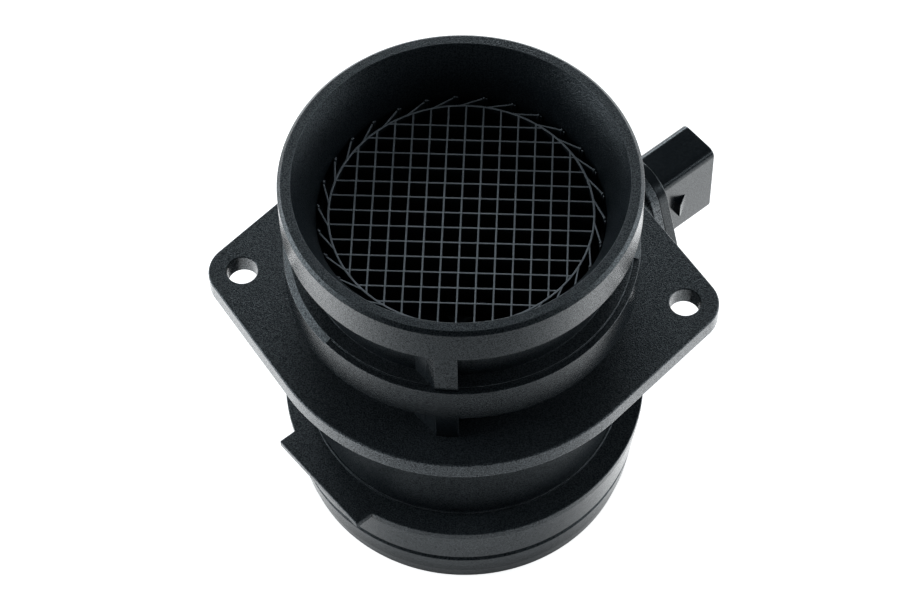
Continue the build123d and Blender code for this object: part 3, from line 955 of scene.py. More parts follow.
@dataclass
class TubeHousing:
    """The tube moulding: bands, grooves, flange, waist, disc, tab, ribs and the module's port.

    Args:
        finish: Its material.
        total_height: Height from the base to the rim.
        rim_bottom: Underside of the rim band.
        rim_chamfer: Width of the slope at the rim's top.
        band_top: Top of the second band.
        band_bottom: Underside of the second band.
        low_from: Azimuth where the second band's edge becomes a low step, in degrees.
        low_to: Azimuth where it ends.
        flange_top: Top of the flange.
        flange_bottom: Underside of the flange.
        flange_radius: Radius of the flange's middle.
        lobe_radius: Radius of the flange's ends.
        hole_reach: Distance of the flange's holes from the tube's axis.
        hole_radius: Radius of the flange's holes.
        disc_height: Top of the lower disc.
        rim_radius: Radius of the rim and of the second band.
        neck_radius: Radius of the grooves' floor.
        waist_radius: Radius of the waist at its middle.
        waist_end_radius: Radius of the waist at both ends.
        step_radius: Radius of the step at the waist's foot.
        step_height: Height of that step.
        disc_radius: Radius of the disc's top edge.
        disc_edge_height: Upright part of the disc's side.
        groove_height: Height of the groove round the disc's side.
        foot_radius: Radius of the disc near its foot.
        foot_bevel: Inward slope at the foot.
        foot_bevel_height: Height of that slope.
        hollow_inner: Inner radius of the hollow under the disc.
        hollow_outer: Outer radius of the hollow.
        hollow_roof: Height of the hollow's roof.
        rib_middle: Place of the ribs' middle along X.
        rib_half: Half the ribs' width.
        duct_radius: Radius of the duct.
        seat_radius: Radius of the grid's seat.
        grid_bottom: Underside of the grid.
        grid_top: Top of the grid.
        mouth_radius: Radius of the mouth.
        fine: Radius of the sharper edges.
        soft: Radius of the softer edges.
        columns: Columns of the turned body.
    """

    finish: bpy.types.Material
    total_height: float = 0.108
    rim_bottom: float = 0.0976
    rim_chamfer: float = 0.00085
    band_top: float = 0.0842
    band_bottom: float = 0.0735
    low_from: float = 227.0
    low_to: float = 358.0
    flange_top: float = 0.0655
    flange_bottom: float = 0.0602
    flange_radius: float = 0.04735
    lobe_radius: float = 0.0078
    hole_reach: float = 0.05075
    hole_radius: float = 0.00355
    disc_height: float = 0.0255
    rim_radius: float = 0.040
    neck_radius: float = 0.0353
    waist_radius: float = 0.0349
    waist_end_radius: float = 0.0368
    step_radius: float = 0.0373
    step_height: float = 0.0006
    disc_radius: float = 0.0427
    disc_edge_height: float = 0.0021
    groove_height: float = 0.0113
    foot_radius: float = 0.0405
    foot_bevel: float = 0.0009
    foot_bevel_height: float = 0.0042
    hollow_inner: float = 0.0342
    hollow_outer: float = 0.0376
    hollow_roof: float = 0.0227
    rib_middle: float = 0.0005
    rib_half: float = 0.0027
    duct_radius: float = 0.031
    seat_radius: float = 0.0321
    grid_bottom: float = GRID_BOTTOM
    grid_top: float = GRID_TOP
    mouth_radius: float = 0.0371
    fine: float = 0.00012
    soft: float = 0.0003
    columns: int = 240

    def build(self) -> None:
        """Builds the moulding and dresses it."""
        body = lathe("housing", self._outside, self._azimuths(), closed=False)
        carve(body, Cut.JOIN, [self._flange(), self._tab(), *self._ribs(), *self._port()])
        carve(body, Cut.REMOVE, [self._duct(), self._hollow(), *self._holes(), *self._bores()])
        dress(body, self.finish, ["sensor_housing"])

    def _azimuths(self) -> list[float]:
        """Columns of the turned body, with close pairs where the band's edge changes."""
        apart, clear = 0.06, 0.3
        changes = [side + shift for side in (self.low_from, self.low_to) for shift in (-apart, apart)]
        even = [a for a in even_turn(self.columns) if all(abs(a - c) > clear for c in changes)]
        return sorted(even + changes)

    def _outside(self, azimuth: float) -> list[Point]:
        """Profile of the outside at an azimuth.

        Args:
            azimuth: Azimuth in degrees.

        Returns:
            The profile's points, from the base up to the rim.
        """
        corners = [
            *self._disc_side(),
            Corner(self.step_radius, self.disc_height, self.fine),
            Corner(self.step_radius, self.disc_height + self.step_height, self.fine),
            *self._waist(),
            Corner(self.neck_radius, self.flange_top),
            Corner(self.neck_radius, self.band_bottom, self.fine),
            Corner(self.rim_radius, self.band_bottom, self.soft),
            *self._band_edge(self.low_from < azimuth < self.low_to),
            Corner(self.neck_radius, self.band_top, self.fine),
            Corner(self.neck_radius, self.rim_bottom, self.fine),
            Corner(self.rim_radius, self.rim_bottom, self.soft),
            Corner(self.rim_radius, self.total_height - self.rim_chamfer, self.soft),
            Corner(self.rim_radius - self.rim_chamfer, self.total_height, self.soft),
            Corner(self.neck_radius / 2, self.total_height),
        ]
        return rounded_profile(corners, closed=False)

    def _disc_side(self) -> list[Corner]:
        """Side of the lower disc with its groove, from the base up."""
        middle, depth, half, floor = self.groove_height, 0.0007, 0.0011, 0.00045
        rise = self.foot_bevel_height
        side = self.disc_height - self.disc_edge_height
        slope = (self.disc_radius - self.foot_radius) / (side - rise)

        def wall(height: float) -> float:
            """Radius of the disc's side at a height."""
            return self.foot_radius + slope * (height - rise)

        return [
            Corner(self.foot_radius - self.foot_bevel, 0.0),
            Corner(self.foot_radius, rise, self.soft),
            Corner(wall(middle - half), middle - half, self.fine),
            Corner(wall(middle) - depth, middle - floor, self.fine),
            Corner(wall(middle) - depth, middle + floor, self.fine),
            Corner(wall(middle + half), middle + half, self.fine),
            Corner(self.disc_radius, side, self.soft),
            Corner(self.disc_radius, self.disc_height, self.soft),
        ]

    def _waist(self) -> list[Corner]:
        """Concave waist, from the step up to the flange."""
        rows = 14
        low = self.disc_height + self.step_height
        middle, half = (low + self.flange_bottom) / 2, (self.flange_bottom - low) / 2
        flare = self.waist_end_radius - self.waist_radius
        shares = [2 * row / rows - 1 for row in range(rows + 1)]
        return [Corner(self.waist_radius + flare * share * share, middle + half * share) for share in shares]

    def _band_edge(self, lowered: bool) -> list[Corner]:
        """Upper edge of the second band, a low step where it is lowered and a slope elsewhere."""
        ledge, drop, rebate, start = 0.0015, 0.0011, 0.00045, 0.1
        inner = self.rim_radius - ledge
        if lowered:
            low = self.band_top - rebate
            edge = [Corner(self.rim_radius, low, self.fine), Corner(inner, low, self.fine)]
        else:
            edge = [
                Corner(self.rim_radius, self.band_top - drop, self.fine),
                Corner(inner + ledge * start, self.band_top - drop * start, self.fine),
            ]
        return [*edge, Corner(inner, self.band_top, self.fine)]

    def _duct(self) -> bpy.types.Object:
        """Cutter of the duct: flared outlet, bore, grid seat and bell mouth."""
        past, lip, bulge, rows = 0.001, 0.00015, 0.0007, 8
        flare, flare_height, flare_softness = 0.0014, 0.0026, 0.4
        widening = self.mouth_radius - lip - self.seat_radius
        edge = self.total_height - lip
        bell = []
        for share in (row / rows for row in range(1, rows)):
            radius = self.seat_radius + widening * share - 4 * bulge * share * (1 - share)
            bell.append(Corner(radius, self.grid_top + (edge - self.grid_top) * share))
        rounding = []
        for angle in (math.pi / 2 * part / ROUND_STEPS for part in range(ROUND_STEPS + 1)):
            rounding.append(Corner(self.mouth_radius - lip * math.cos(angle), edge + lip * math.sin(angle)))
        corners = [
            Corner(self.duct_radius + flare, -past),
            Corner(self.duct_radius + flare, 0.0),
            Corner(self.duct_radius, flare_height, flare_height * flare_softness),
            Corner(self.duct_radius, self.grid_bottom, self.fine),
            Corner(self.seat_radius, self.grid_bottom),
            Corner(self.seat_radius, self.grid_top, self.fine),
            *bell,
            *rounding,
            Corner(self.mouth_radius, self.total_height + past),
        ]
        points = rounded_profile(corners, closed=False)
        return lathe("duct", lambda azimuth: points, even_turn(self.columns), closed=False)

    def _hollow(self) -> bpy.types.Object:
        """Cutter of the ring-shaped hollow under the disc."""
        past, fillet = 0.001, 0.0008
        corners = [
            Corner(self.hollow_inner, -past),
            Corner(self.hollow_outer, -past),
            Corner(self.hollow_outer, self.hollow_roof, fillet),
            Corner(self.hollow_inner, self.hollow_roof, fillet),
        ]
        points = rounded_profile(corners, closed=True)
        return lathe("hollow", lambda azimuth: points, even_turn(self.columns), closed=True)

    def _flange(self) -> bpy.types.Object:
        """Flange plate with rounded edges."""
        edge = 0.0005
        middle = Disc(0.0, 0.0, self.flange_radius)
        right, left = (Disc(x, 0.0, self.lobe_radius) for x in (self.hole_reach, -self.hole_reach))
        stations = rounded_ends(self.flange_bottom, self.flange_top, edge, edge)
        return puck("flange", [right, middle, left, middle], stations, step=FINE_STEP)

    def _holes(self) -> list[bpy.types.Object]:
        """Cutters of the flange's two holes, with rounded lips."""
        stations = flared_ends(self.flange_bottom, self.flange_top, lip=0.0003, past=0.001)
        places = (self.hole_reach, -self.hole_reach)
        return [puck("hole", [Disc(x, 0.0, self.hole_radius)], stations) for x in places]

    def _tab(self) -> bpy.types.Object:
        """Flat tab on the disc's top edge."""
        inner, reach, half, thickness, azimuth = self.hollow_outer, 0.0446, 0.0146, 0.0018, -135.0
        lower_edge, upper_edge, fillet = 0.0002, 0.0003, 0.0004
        corners = [(inner, -half), (reach, -half), (reach, half), (inner, half)]
        stations = rounded_ends(self.disc_height - thickness, self.disc_height, lower_edge, upper_edge)
        turn = Matrix.Rotation(math.radians(azimuth), 4, "Z")
        return puck("tab", corner_discs(corners, fillet), stations, turn)

    def _ribs(self) -> list[bpy.types.Object]:
        """Two short ribs, under the rim and under the second band."""
        bury, setback, fillet = 0.0004, 0.0007, 0.00025
        places = [
            (self.rim_radius - setback, self.band_top - bury, self.rim_bottom + bury),
            (self.rim_radius, self.flange_top - bury, self.band_bottom + bury),
        ]
        left, right = self.rib_middle - self.rib_half, self.rib_middle + self.rib_half
        ribs = []
        for face, low, high in places:
            lean = self.duct_radius - face
            outer = [(x, -math.sqrt(face * face - x * x)) for x in (left, (left + right) / 2, right)]
            inner = [(right + lean, -self.duct_radius), (left + lean, -self.duct_radius)]
            ribs.append(puck("rib", corner_discs(outer + inner, fillet), [(low, 0.0), (high, 0.0)]))
        return ribs

    def _port(self) -> list[bpy.types.Object]:
        """Boss, flange and screw posts of the module's port."""
        start, thickness, post_radius = self.duct_radius / 2, 0.0024, 0.0044
        width, height = 0.0167, 0.0253
        inner_edge, outer_edge = 0.0003, 0.0002
        place = PORT.plane()
        reach = [(start, 0.0), (PORT.face - thickness / 2, 0.0)]
        boss = puck("boss", PORT.oblong(width, height), reach, place)
        stations = rounded_ends(PORT.face - thickness, PORT.face, inner_edge, outer_edge)
        plate = puck("port_plate", PORT.plate(), stations, place)
        return [boss, plate, *(puck("post", [Disc(x, y, post_radius)], reach, place) for x, y in PORT.ears())]

    def _bores(self) -> list[bpy.types.Object]:
        """Cutters of the port's opening and its two screw holes."""
        past, depth, pilot_radius = 0.001, 0.0084, 0.002
        width, height = 0.0119, 0.0205
        place = PORT.plane()
        end = (PORT.face + past, 0.0)
        opening = puck("opening", PORT.oblong(width, height), [(0.0, 0.0), end], place)
        pilot = [(PORT.face - depth, 0.0), end]
        return [opening, *(puck("pilot", [Disc(x, y, pilot_radius)], pilot, place) for x, y in PORT.ears())]


@dataclass
class SensorModule:
    """The plug-in moulding, with its plate, connector shroud and latch lug drawn with rounded edges.

    Args:
        finish: Its material.
        seam: Distance from the tube's axis where the new outer end meets the spigot.
        plate_start: Inner face of the plate.
        plate_end: Outer face of the plate.
        hole_radius: Radius of the plate's screw holes.
        shroud_width: Width of the shroud.
        shroud_height: Height of the shroud.
        shroud_corner: Corner radius of the shroud.
        shroud_end: Open end of the shroud.
        socket_floor: Floor of the socket.
        socket_width: Width of the socket.
        socket_height: Height of the socket.
        socket_corner: Corner radius of the socket.
        lug_start: Latch face of the lug.
        lug_length: Length of the lug's ramp.
        lug_rise: Height of the lug above the shroud.
        lug_height: Width of the lug.
    """

    finish: bpy.types.Material
    seam: float = 0.0539
    plate_start: float = PORT.face
    plate_end: float = PORT.seat
    hole_radius: float = 0.00225
    shroud_width: float = 0.0113
    shroud_height: float = 0.0233
    shroud_corner: float = 0.0022
    shroud_end: float = 0.0731
    socket_floor: float = 0.0586
    socket_width: float = 0.0085
    socket_height: float = 0.0205
    socket_corner: float = 0.0008
    lug_start: float = 0.0609
    lug_length: float = 0.0033
    lug_rise: float = 0.0019
    lug_height: float = 0.0045

    def build(self) -> None:
        """Builds the moulding and dresses it."""
        body = welded_copy("module_frame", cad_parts["sensor_module_frame"])
        inner = [Disc(0.0, PORT.height, self.seam)]
        carve(body, Cut.KEEP, [puck("keep", inner, [(-self.seam, 0.0), (self.seam, 0.0)], PORT.plane())])
        carve(body, Cut.JOIN, [self._stub(), self._plate(), self._shroud(), self._lug()])
        pins = [node for name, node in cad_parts.items() if name.startswith("terminal_pin")]
        slots = [welded_copy("slot", pin) for pin in pins]
        carve(body, Cut.REMOVE, [self._socket(), *self._holes(), *slots])
        dress(body, self.finish, ["sensor_module_frame"])

    def _stub(self) -> bpy.types.Object:
        """Short piece that joins the plate to the spigot."""
        width, height, reach = 0.0115, 0.0201, 0.0005
        stations = [(self.seam - reach, 0.0), (self.plate_start + reach, 0.0)]
        return puck("stub", PORT.oblong(width, height), stations, PORT.plane())

    def _plate(self) -> bpy.types.Object:
        """Mounting plate."""
        inner_edge, outer_edge = 0.00015, 0.00035
        stations = rounded_ends(self.plate_start, self.plate_end, inner_edge, outer_edge)
        return puck("plate", PORT.plate(), stations, PORT.plane())

    def _holes(self) -> list[bpy.types.Object]:
        """Cutters of the plate's screw holes."""
        stations = flared_ends(self.plate_start, self.plate_end, lip=0.0002, past=0.0005)
        discs = [Disc(x, y, self.hole_radius) for x, y in PORT.ears()]
        return [puck("hole", [disc], stations, PORT.plane()) for disc in discs]

    def _shroud(self) -> bpy.types.Object:
        """Connector shroud with a rounded open end."""
        bury, edge = 0.001, 0.0004
        discs = corner_discs(PORT.box(self.shroud_width, self.shroud_height), self.shroud_corner)
        stations = rounded_ends(self.plate_end - bury, self.shroud_end, 0.0, edge)
        return puck("shroud", discs, stations, PORT.plane())

    def _socket(self) -> bpy.types.Object:
        """Cutter of the socket, with a rounded lip."""
        lip, past = 0.0003, 0.001
        discs = corner_discs(PORT.box(self.socket_width, self.socket_height), self.socket_corner)
        rounded = rounded_ends(self.socket_floor, self.shroud_end, 0.0, lip)
        walls = [(place, -inset) for place, inset in rounded]
        return puck("socket", discs, [*walls, (self.shroud_end + past, -lip)], PORT.plane())

    def _lug(self) -> bpy.types.Object:
        """Wedge that the plug's latch snaps over."""
        side, bury, soft, step = -self.shroud_width / 2, 0.0006, 0.00012, math.radians(20.0)
        start, end = self.lug_start, self.lug_start + self.lug_length
        corners = [(start, side - self.lug_rise), (end, side), (end, side + bury), (start, side + bury)]
        half = self.lug_height / 2
        stations = rounded_ends(PORT.height - half, PORT.height + half, soft, soft)
        return puck("lug", corner_discs(corners, soft), stations, PORT.turn(), step)


@dataclass
class ModuleScrew:
    """Pan-head screw with a socket and a turned thread.

    Args:
        finish: Its material.
        index: Its number, from 1.
        seat: Distance of its seat from the tube's axis.
        length: Length below the head.
        radius: Outer radius of the thread.
        thread_depth: Depth of the thread.
        pitch: Rise of the thread in one turn.
        head_radius: Radius of the head.
        head_height: Height of the head.
        socket_radius: Radius to the socket's corners.
        socket_depth: Depth of the socket.
        columns: Columns of the turned body.
    """

    finish: bpy.types.Material
    index: int
    seat: float = PORT.seat
    length: float = 0.010
    radius: float = 0.00195
    thread_depth: float = 0.00028
    pitch: float = 0.0008
    head_radius: float = 0.0036
    head_height: float = 0.0024
    socket_radius: float = 0.0017
    socket_depth: float = 0.0013
    columns: int = 48

    def build(self) -> None:
        """Builds the screw and dresses it."""
        across, up = PORT.ears()[self.index - 1]
        place = PORT.plane() @ Matrix.Translation((across, up, self.seat))
        name = f"threaded_screw_{self.index}"
        screw = lathe(name, self._profile, even_turn(self.columns), closed=False, place=place)
        carve(screw, Cut.REMOVE, [self._socket(place)])
        dress(screw, self.finish, [f"module_screw_{self.index}"])

    def _socket(self, place: Matrix) -> bpy.types.Object:
        """Cutter of the hexagon socket, with a small lip."""
        top, reach, lip, fillet = self.head_height, self.socket_radius, 0.00015, 0.0001
        angles = [math.radians(60.0 * side) for side in range(6)]
        hexagon = [(reach * math.cos(angle), reach * math.sin(angle)) for angle in angles]
        stations = [(top - self.socket_depth, 0.0), (top - lip, 0.0), (top, -lip), (top + lip, -lip)]
        return puck("socket", corner_discs(hexagon, fillet), stations, place, COARSE_STEP)

    def _profile(self, azimuth: float) -> list[Point]:
        """Profile of the screw at an azimuth, with the thread in its phase.

        Args:
            azimuth: Azimuth in degrees.

        Returns:
            The profile's points, from the tip up to the head's top.
        """
        points = []
        rows = 8
        steps = round(self.length / self.pitch) * rows
        for row in range(steps + 1):
            depth = self.length * row / steps
            phase = (depth / self.pitch - azimuth / 360.0) % 1.0
            groove = self.thread_depth * abs(2.0 * phase - 1.0)
            ends = min(1.0, depth / self.pitch, (self.length - depth) / self.pitch)
            tip = self.thread_depth * max(0.0, 1.0 - depth / self.pitch)
            points.append((self.radius - groove * ends - tip, depth - self.length))
        reach, height, edge = self.head_radius, self.head_height, 0.0001
        side, side_fillet, crown, crown_fillet, middle = 0.45, 0.25, 0.72, 0.3, 0.4
        head = [
            Corner(self.radius, 0.0),
            Corner(reach, 0.0, edge),
            Corner(reach, height * side, height * side_fillet),
            Corner(reach * crown, height, height * crown_fillet),
            Corner(self.socket_radius * middle, height),
        ]
        return points + rounded_profile(head, closed=False)[1:]


@dataclass
class FlowGrid:
    """The grid insert: lattice, ring and slanted spokes with feet along the wall.

    Args:
        finish: Its material.
        bottom: Underside.
        top: Top.
        pitch: Distance between the lattice's lines.
        lines: Lines on each side of the middle one.
        wall: Thickness of the walls.
        ring_radius: Middle radius of the ring.
        turn: Turn of the lattice, in degrees.
        wall_radius: Radius that the feet reach.
        spokes: Number of spokes.
        spoke_turn: Turn of a spoke's tip against its root, in degrees.
        foot_turn: Turn along a foot, in degrees.
        slimness: Share of their thickness that spokes and feet have, so that no faces coincide.
        foot_wall: Thickness of a foot.
        knob_radius: Radius of the knob on a spoke's tip.
        knob_rise: Height of the knob above the spoke.
        edge: Radius of the upper edges.
        lower_edge: Radius of the lower edges.
        draft: How far a wall slopes inwards from its foot to its top.
        columns: Columns of the turned ring.
    """

    finish: bpy.types.Material
    bottom: float = GRID_BOTTOM
    top: float = GRID_TOP
    pitch: float = 0.00395
    lines: int = 6
    wall: float = 0.0005
    ring_radius: float = 0.02935
    turn: float = 3.0
    wall_radius: float = 0.03198
    spokes: int = 30
    spoke_turn: float = -10.0
    foot_turn: float = -1.2
    slimness: float = 0.98
    foot_wall: float = 0.00042
    knob_radius: float = 0.00038
    knob_rise: float = 0.0005
    edge: float = 0.00014
    lower_edge: float = 0.00006
    draft: float = 0.00003
    columns: int = 180

    def build(self) -> None:
        """Builds the insert and dresses it."""
        past = 0.001
        lattice = gather("flow_grid_lattice", self._slats(0.0))
        carve(lattice, Cut.JOIN, [gather("cross_slats", self._slats(90.0))])
        reach = [(self.bottom - past, 0.0), (self.top + past, 0.0)]
        trim = puck("trim", [Disc(0.0, 0.0, self.ring_radius)], reach)
        carve(lattice, Cut.KEEP, [trim])
        azimuths = even_turn(self.spokes)
        spokes = gather("spokes", [self._spoke(azimuth) for azimuth in azimuths])
        feet = gather("feet", [self._foot(azimuth) for azimuth in azimuths])
        knobs = gather("knobs", [self._knob(azimuth) for azimuth in azimuths])
        carve(lattice, Cut.JOIN, [self._ring(), spokes, feet, knobs])
        dress(lattice, self.finish, ["flow_grid"])

    def _stations(self) -> list[Station]:
        """Heights of a wall with rounded upper edges and a slight draft."""
        height = self.top - self.bottom
        rounded = rounded_ends(self.bottom, self.top, self.lower_edge, self.edge)
        return [(z, inset + self.draft * (z - self.bottom) / height) for z, inset in rounded]

    def _slats(self, azimuth: float) -> list[bpy.types.Object]:
        """Parallel slats of the lattice along one direction."""
        place = Matrix.Rotation(math.radians(self.turn + azimuth), 4, "Z")
        reach = self.ring_radius + self.wall
        half = self.wall / 2
        fillet = half * 0.95
        slats = []
        for middle in (line * self.pitch for line in range(-self.lines, self.lines + 1)):
            low, high = middle - half, middle + half
            discs = corner_discs([(low, -reach), (high, -reach), (high, reach), (low, reach)], fillet)
            slats.append(puck("slat", discs, self._stations(), place, COARSE_STEP))
        return slats

    def _ring(self) -> bpy.types.Object:
        """Thin ring round the lattice."""
        inner, outer = self.ring_radius - self.wall / 2, self.ring_radius + self.wall / 2
        profile = [
            Corner(inner, self.bottom, self.lower_edge),
            Corner(outer, self.bottom, self.lower_edge),
            Corner(outer, self.top, self.edge),
            Corner(inner, self.top, self.edge),
        ]
        points = rounded_profile(profile, closed=True)
        return lathe("ring", lambda azimuth: points, even_turn(self.columns), closed=True)

    def _disc(self, radius: float, azimuth: float, size: float) -> Disc:
        """Circle of a size at a radius and an azimuth in degrees."""
        angle = math.radians(azimuth)
        return Disc(radius * math.cos(angle), radius * math.sin(angle), size)

    def _spoke(self, azimuth: float) -> bpy.types.Object:
        """Slanted spoke between the ring and the duct's wall."""
        size = self.wall / 2 * self.slimness
        root = self._disc(self.ring_radius, azimuth, size)
        tip = self._disc(self.wall_radius - self.foot_wall / 2, azimuth + self.spoke_turn, size)
        return puck("spoke", [root, tip], self._stations(), step=COARSE_STEP)

    def _knob(self, azimuth: float) -> bpy.types.Object:
        """Rounded knob where a spoke's tip meets its foot."""
        disc = self._disc(self.wall_radius - self.knob_radius, azimuth + self.spoke_turn, self.knob_radius)
        top = self.top + self.knob_rise
        stations = rounded_ends(self.bottom + self.edge, top, self.edge, self.knob_rise)
        return puck("knob", [disc], stations, step=COARSE_STEP)

    def _foot(self, azimuth: float) -> bpy.types.Object:
        """Foot of a spoke, along the duct's wall."""
        half = self.foot_wall / 2
        toe_azimuth = azimuth + self.spoke_turn
        places = (toe_azimuth + self.foot_turn, toe_azimuth)
        discs = [self._disc(self.wall_radius - half, place, half * self.slimness) for place in places]
        return puck("foot", discs, self._stations(), step=COARSE_STEP)


@dataclass
class SmallPart:
    """Solid that keeps its own mesh, with softened edges.

    Args:
        solid: The solid.
        finish: Its material.
        edge: Width of the softened edges, 0 for none.
    """

    solid: bpy.types.Object
    finish: bpy.types.Material
    edge: float

    def dress(self) -> None:
        """Gives the solid its material and softens its edges."""
        self.solid.data.materials.clear()
        self.solid.data.materials.append(self.finish)
        if self.edge:
            weld = self.solid.modifiers.new("weld", "WELD")
            weld.merge_threshold = 1e-6
            bevel = self.solid.modifiers.new("soft_edges", "BEVEL")
            bevel.width = self.edge
            bevel.segments = 2
            bevel.limit_method = "ANGLE"
            bevel.angle_limit = math.radians(50.0)
        faces = len(self.solid.data.polygons)
        log.info("%s: %d faces of its own, finished in %s", self.solid.name, faces, self.finish.name)


@dataclass(frozen=True)
class Lamp:
    """Soft area lamp that faces the object.

    Args:
        name: Name of the lamp.
        azimuth: Direction from the object, 0 towards the camera and 90 to the right, in degrees.
        elevation: Angle above the table, in degrees.
        distance: Distance from the object.
        width: Width of its face.
        height: Height of its face.
        power: Power in watts.
        colour: Colour of its light.
    """

    name: str
    azimuth: float
    elevation: float
    distance: float
    width: float
    height: float
    power: float
    colour: Colour = (0.9, 0.96, 1.0)


@dataclass
class Studio:
    """White table, soft surroundings and the camera.

    Args:
        table_size: Side of the table.
        focal_length: Camera's focal length in millimetres, for a sensor 36 mm wide.
        elevation: Camera's angle above the horizon, in degrees.
        roll: Camera's roll, in degrees.
        turn: Turn of the object against the picture, in degrees.
        aim: Rim centre in the camera's own axes.
        rim_height: Height of the rim's top above the table.
        horizon: Brightness of the surroundings near the table.
        zenith: Brightness straight above.
        front_sky: Share of that brightness left on the camera's side.
        sky: Colour of the surroundings.
        table_glow: What the table adds to its own lit colour where the camera sees it.
        painted_front_shadow: What it adds in reflections in front of the object, a painted shadow where the
            object would shade it.
        painted_side_light: What it adds in reflections elsewhere, painted light at the sides.
        foot_shade: Radii between which the painted shade under the object, seen in reflections, ends.
        lamps: The lamps.
    """

    table_size: float = 60.0
    focal_length: float = 126.0
    elevation: float = 57.05
    roll: float = -1.5
    turn: float = 6.7
    aim: tuple[float, float, float] = (0.00228, 0.02628, -0.6832)
    rim_height: float = 0.108
    horizon: float = 0.5
    zenith: float = 0.16
    front_sky: float = 0.25
    sky: Colour = (0.82, 0.93, 1.0)
    table_glow: float = 0.85
    painted_front_shadow: float = 0.08
    painted_side_light: float = 1.5
    foot_shade: tuple[float, float] = (0.034, 0.044)
    lamps: tuple[Lamp, ...] = (
        Lamp("lamp_left", azimuth=-95.0, elevation=20.0, distance=0.9, width=0.7, height=0.5, power=5.5),
        Lamp("lamp_right", azimuth=95.0, elevation=20.0, distance=0.9, width=0.7, height=0.5, power=4.0),
        Lamp("lamp_back", azimuth=180.0, elevation=22.0, distance=1.2, width=0.9, height=0.4, power=7.0),
    )

    def build(self) -> None:
        """Builds the table, the surroundings and the camera."""
        self._table()
        self._lamps()
        self._world()
        self._camera()

    def _table(self) -> None:
        """Plain white table."""
        mesh = bpy.data.meshes.new("table")
        half = self.table_size / 2
        corners = [(-half, -half, 0.0), (half, -half, 0.0), (half, half, 0.0), (-half, half, 0.0)]
        mesh.from_pydata(corners, [], [(0, 1, 2, 3)])
        mesh.materials.append(self._table_finish())
        table = bpy.data.objects.new("table", mesh)
        bpy.context.scene.collection.objects.link(table)

    def _table_finish(self) -> bpy.types.Material:
        """White that keeps a faint shadow, and in reflections has a painted shadow in front of and under the
        object and painted light at the sides.

        Returns:
            The finished material.
        """
        front, side, grey = 1.0, 0.1, 0.8
        material, nodes = new_material("table_white")
        path = nodes.add("LightPath")
        spot = nodes.add("NewGeometry").outputs["Position"]
        reach = nodes.vector("LENGTH", spot)
        bearing = nodes.number("DIVIDE", self._ahead(nodes, spot), reach)
        # Painted shade under the object and painted shadow in front of it, with painted light at the sides,
        # seen only in reflections.
        outside = nodes.remap(reach, *self.foot_shade)
        lit = nodes.remap(bearing, front, side, self.painted_front_shadow, self.painted_side_light, interpolation_type=SMOOTH)
        seen = nodes.number("MULTIPLY", path.outputs["Is Camera Ray"], self.table_glow)
        shade = nodes.number("MULTIPLY", outside, lit)
        mirrored = nodes.number("MULTIPLY", path.outputs["Is Glossy Ray"], shade)
        glow = nodes.add("Emission", Color=WHITE)
        nodes.join(nodes.number("ADD", seen, mirrored), glow.inputs["Strength"])
        matt = nodes.add("BsdfDiffuse", Color=(grey, grey, grey, 1.0))
        both = nodes.add("AddShader")
        nodes.join(glow.outputs["Emission"], both.inputs[0])
        nodes.join(matt.outputs["BSDF"], both.inputs[1])
        nodes.close(both.outputs["Shader"])
        return material

    def _ahead(self, nodes: NodeTree, way: Socket) -> Socket:
        """How far a vector reaches out in front of the object."""
        turn = math.radians(self.turn)
        return nodes.vector("DOT_PRODUCT", way, (math.sin(turn), -math.cos(turn), 0.0))

    def _lamps(self) -> None:
        """Tall soft lamps on both sides and a broad one high behind the object."""
        turned = Matrix.Rotation(math.radians(self.turn), 4, "Z")
        for lamp in self.lamps:
            data = bpy.data.lights.new(lamp.name, "AREA")
            data.shape = "RECTANGLE"
            data.size = lamp.width
            data.size_y = lamp.height
            data.energy = lamp.power
            data.color = lamp.colour
            light = bpy.data.objects.new(lamp.name, data)
            bpy.context.scene.collection.objects.link(light)
            azimuth, elevation = math.radians(lamp.azimuth), math.radians(lamp.elevation)
            flat, rise = lamp.distance * math.cos(elevation), lamp.distance * math.sin(elevation)
            place = Vector((flat * math.sin(azimuth), -flat * math.cos(azimuth), rise))
            facing = (-place).to_track_quat("-Z", "Y").to_matrix().to_4x4()
            light.matrix_world = turned @ Matrix.Translation(place) @ facing

    def _world(self) -> None:
        """Surroundings, bright round the horizon and dim overhead, and white behind the object."""
        skyline, overhead = 0.05, 0.75
        behind, facing = -0.1, 0.6
        world = bpy.data.worlds.new("studio")
        bpy.context.scene.world = world
        world.use_nodes = True
        world.node_tree.nodes.clear()
        nodes = NodeTree(world.node_tree)
        way = nodes.add("TexCoord").outputs["Generated"]
        upward, ahead = nodes.upward(way), self._ahead(nodes, way)
        level = nodes.remap(upward, skyline, overhead, self.horizon, self.zenith, interpolation_type=SMOOTH)
        front = nodes.remap(ahead, behind, facing, 1.0, self.front_sky, interpolation_type=SMOOTH)
        light = nodes.add("Background", Color=(*self.sky, 1.0))
        nodes.join(nodes.number("MULTIPLY", level, front), light.inputs["Strength"])
        white = nodes.add("Background", Color=WHITE, Strength=1.0)
        mix = nodes.add("MixShader")
        nodes.join(nodes.add("LightPath").outputs["Is Camera Ray"], mix.inputs["Fac"])
        nodes.join(light.outputs["Background"], mix.inputs[1])
        nodes.join(white.outputs["Background"], mix.inputs[2])
        nodes.close(mix.outputs["Shader"], "OutputWorld")

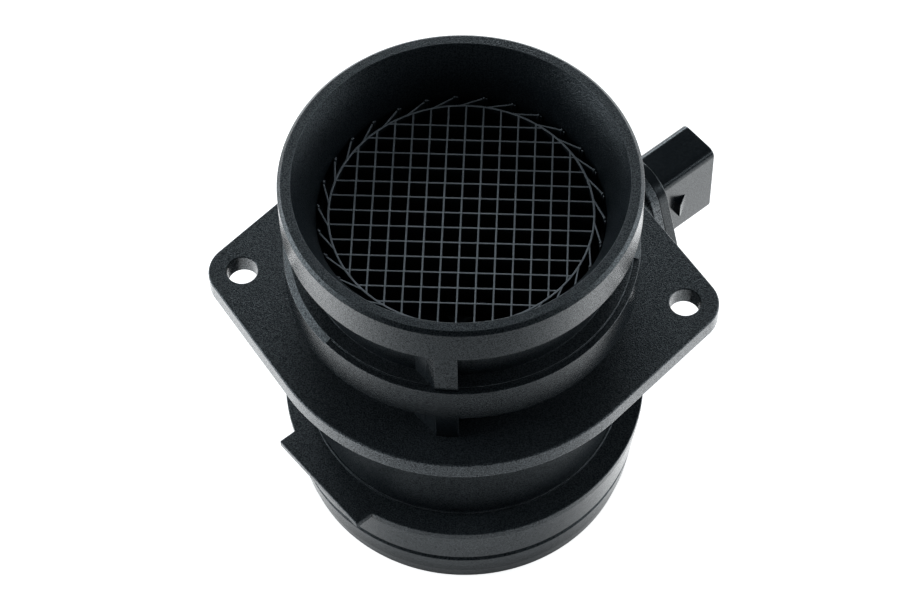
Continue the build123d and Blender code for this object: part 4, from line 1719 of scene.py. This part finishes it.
    def _camera(self) -> None:
        """Camera at the photograph's place, solved from the rim, the bands and the flange."""
        data = bpy.data.cameras.new("camera")
        data.lens = self.focal_length
        data.clip_end = 100.0
        camera = bpy.data.objects.new("camera", data)
        bpy.context.scene.collection.objects.link(camera)
        tilt = math.radians(self.elevation)
        right = Vector((1.0, 0.0, 0.0))
        up = Vector((0.0, math.sin(tilt), math.cos(tilt)))
        back = Vector((0.0, -math.cos(tilt), math.sin(tilt)))
        cosine = math.cos(math.radians(self.roll))
        sine = math.sin(math.radians(self.roll))
        rolled_right = cosine * right + sine * up
        rolled_up = -sine * right + cosine * up
        axes = Matrix((rolled_right, rolled_up, back)).transposed()
        place = -(axes @ Vector(self.aim)) + Vector((0.0, 0.0, self.rim_height))
        turned = Matrix.Rotation(math.radians(self.turn), 4, "Z")
        camera.matrix_world = turned @ Matrix.Translation(place) @ axes.to_4x4()
        bpy.context.scene.camera = camera


def main() -> None:
    """Builds the finishes, the pieces and the studio."""
    logging.basicConfig(level=logging.INFO, format="%(message)s")
    bpy.context.scene.view_settings.view_transform = "Standard"
    finishes = Finishes.build()
    by_node = {
        "sensor_housing": finishes.housing,
        "flow_grid": finishes.grid,
        "sensor_module_frame": finishes.module,
        "sealing_ring": finishes.seal,
        "base_plate": finishes.plate,
        "circuit_board": finishes.board,
        "sensing_element": finishes.chip,
        "electronics_cover": finishes.module,
        "channel_cover": finishes.module,
        "air_temperature_sensor": finishes.bead,
        "module_screw_1": finishes.screw,
        "module_screw_2": finishes.screw,
    }
    edges = {
        "sealing_ring": 0.0003,
        "base_plate": 0.0001,
        "circuit_board": 0.00005,
        "electronics_cover": 0.0002,
        "channel_cover": 0.0002,
    }
    TubeHousing(finishes.housing).build()
    FlowGrid(finishes.grid).build()
    SensorModule(finishes.module).build()
    for index in (1, 2):
        ModuleScrew(finishes.screw, index).build()
    for name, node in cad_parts.items():
        SmallPart(node, by_node.get(name, finishes.terminal), edges.get(name, 0.0)).dress()
    Studio().build()


if __name__ == "__main__":
    main()
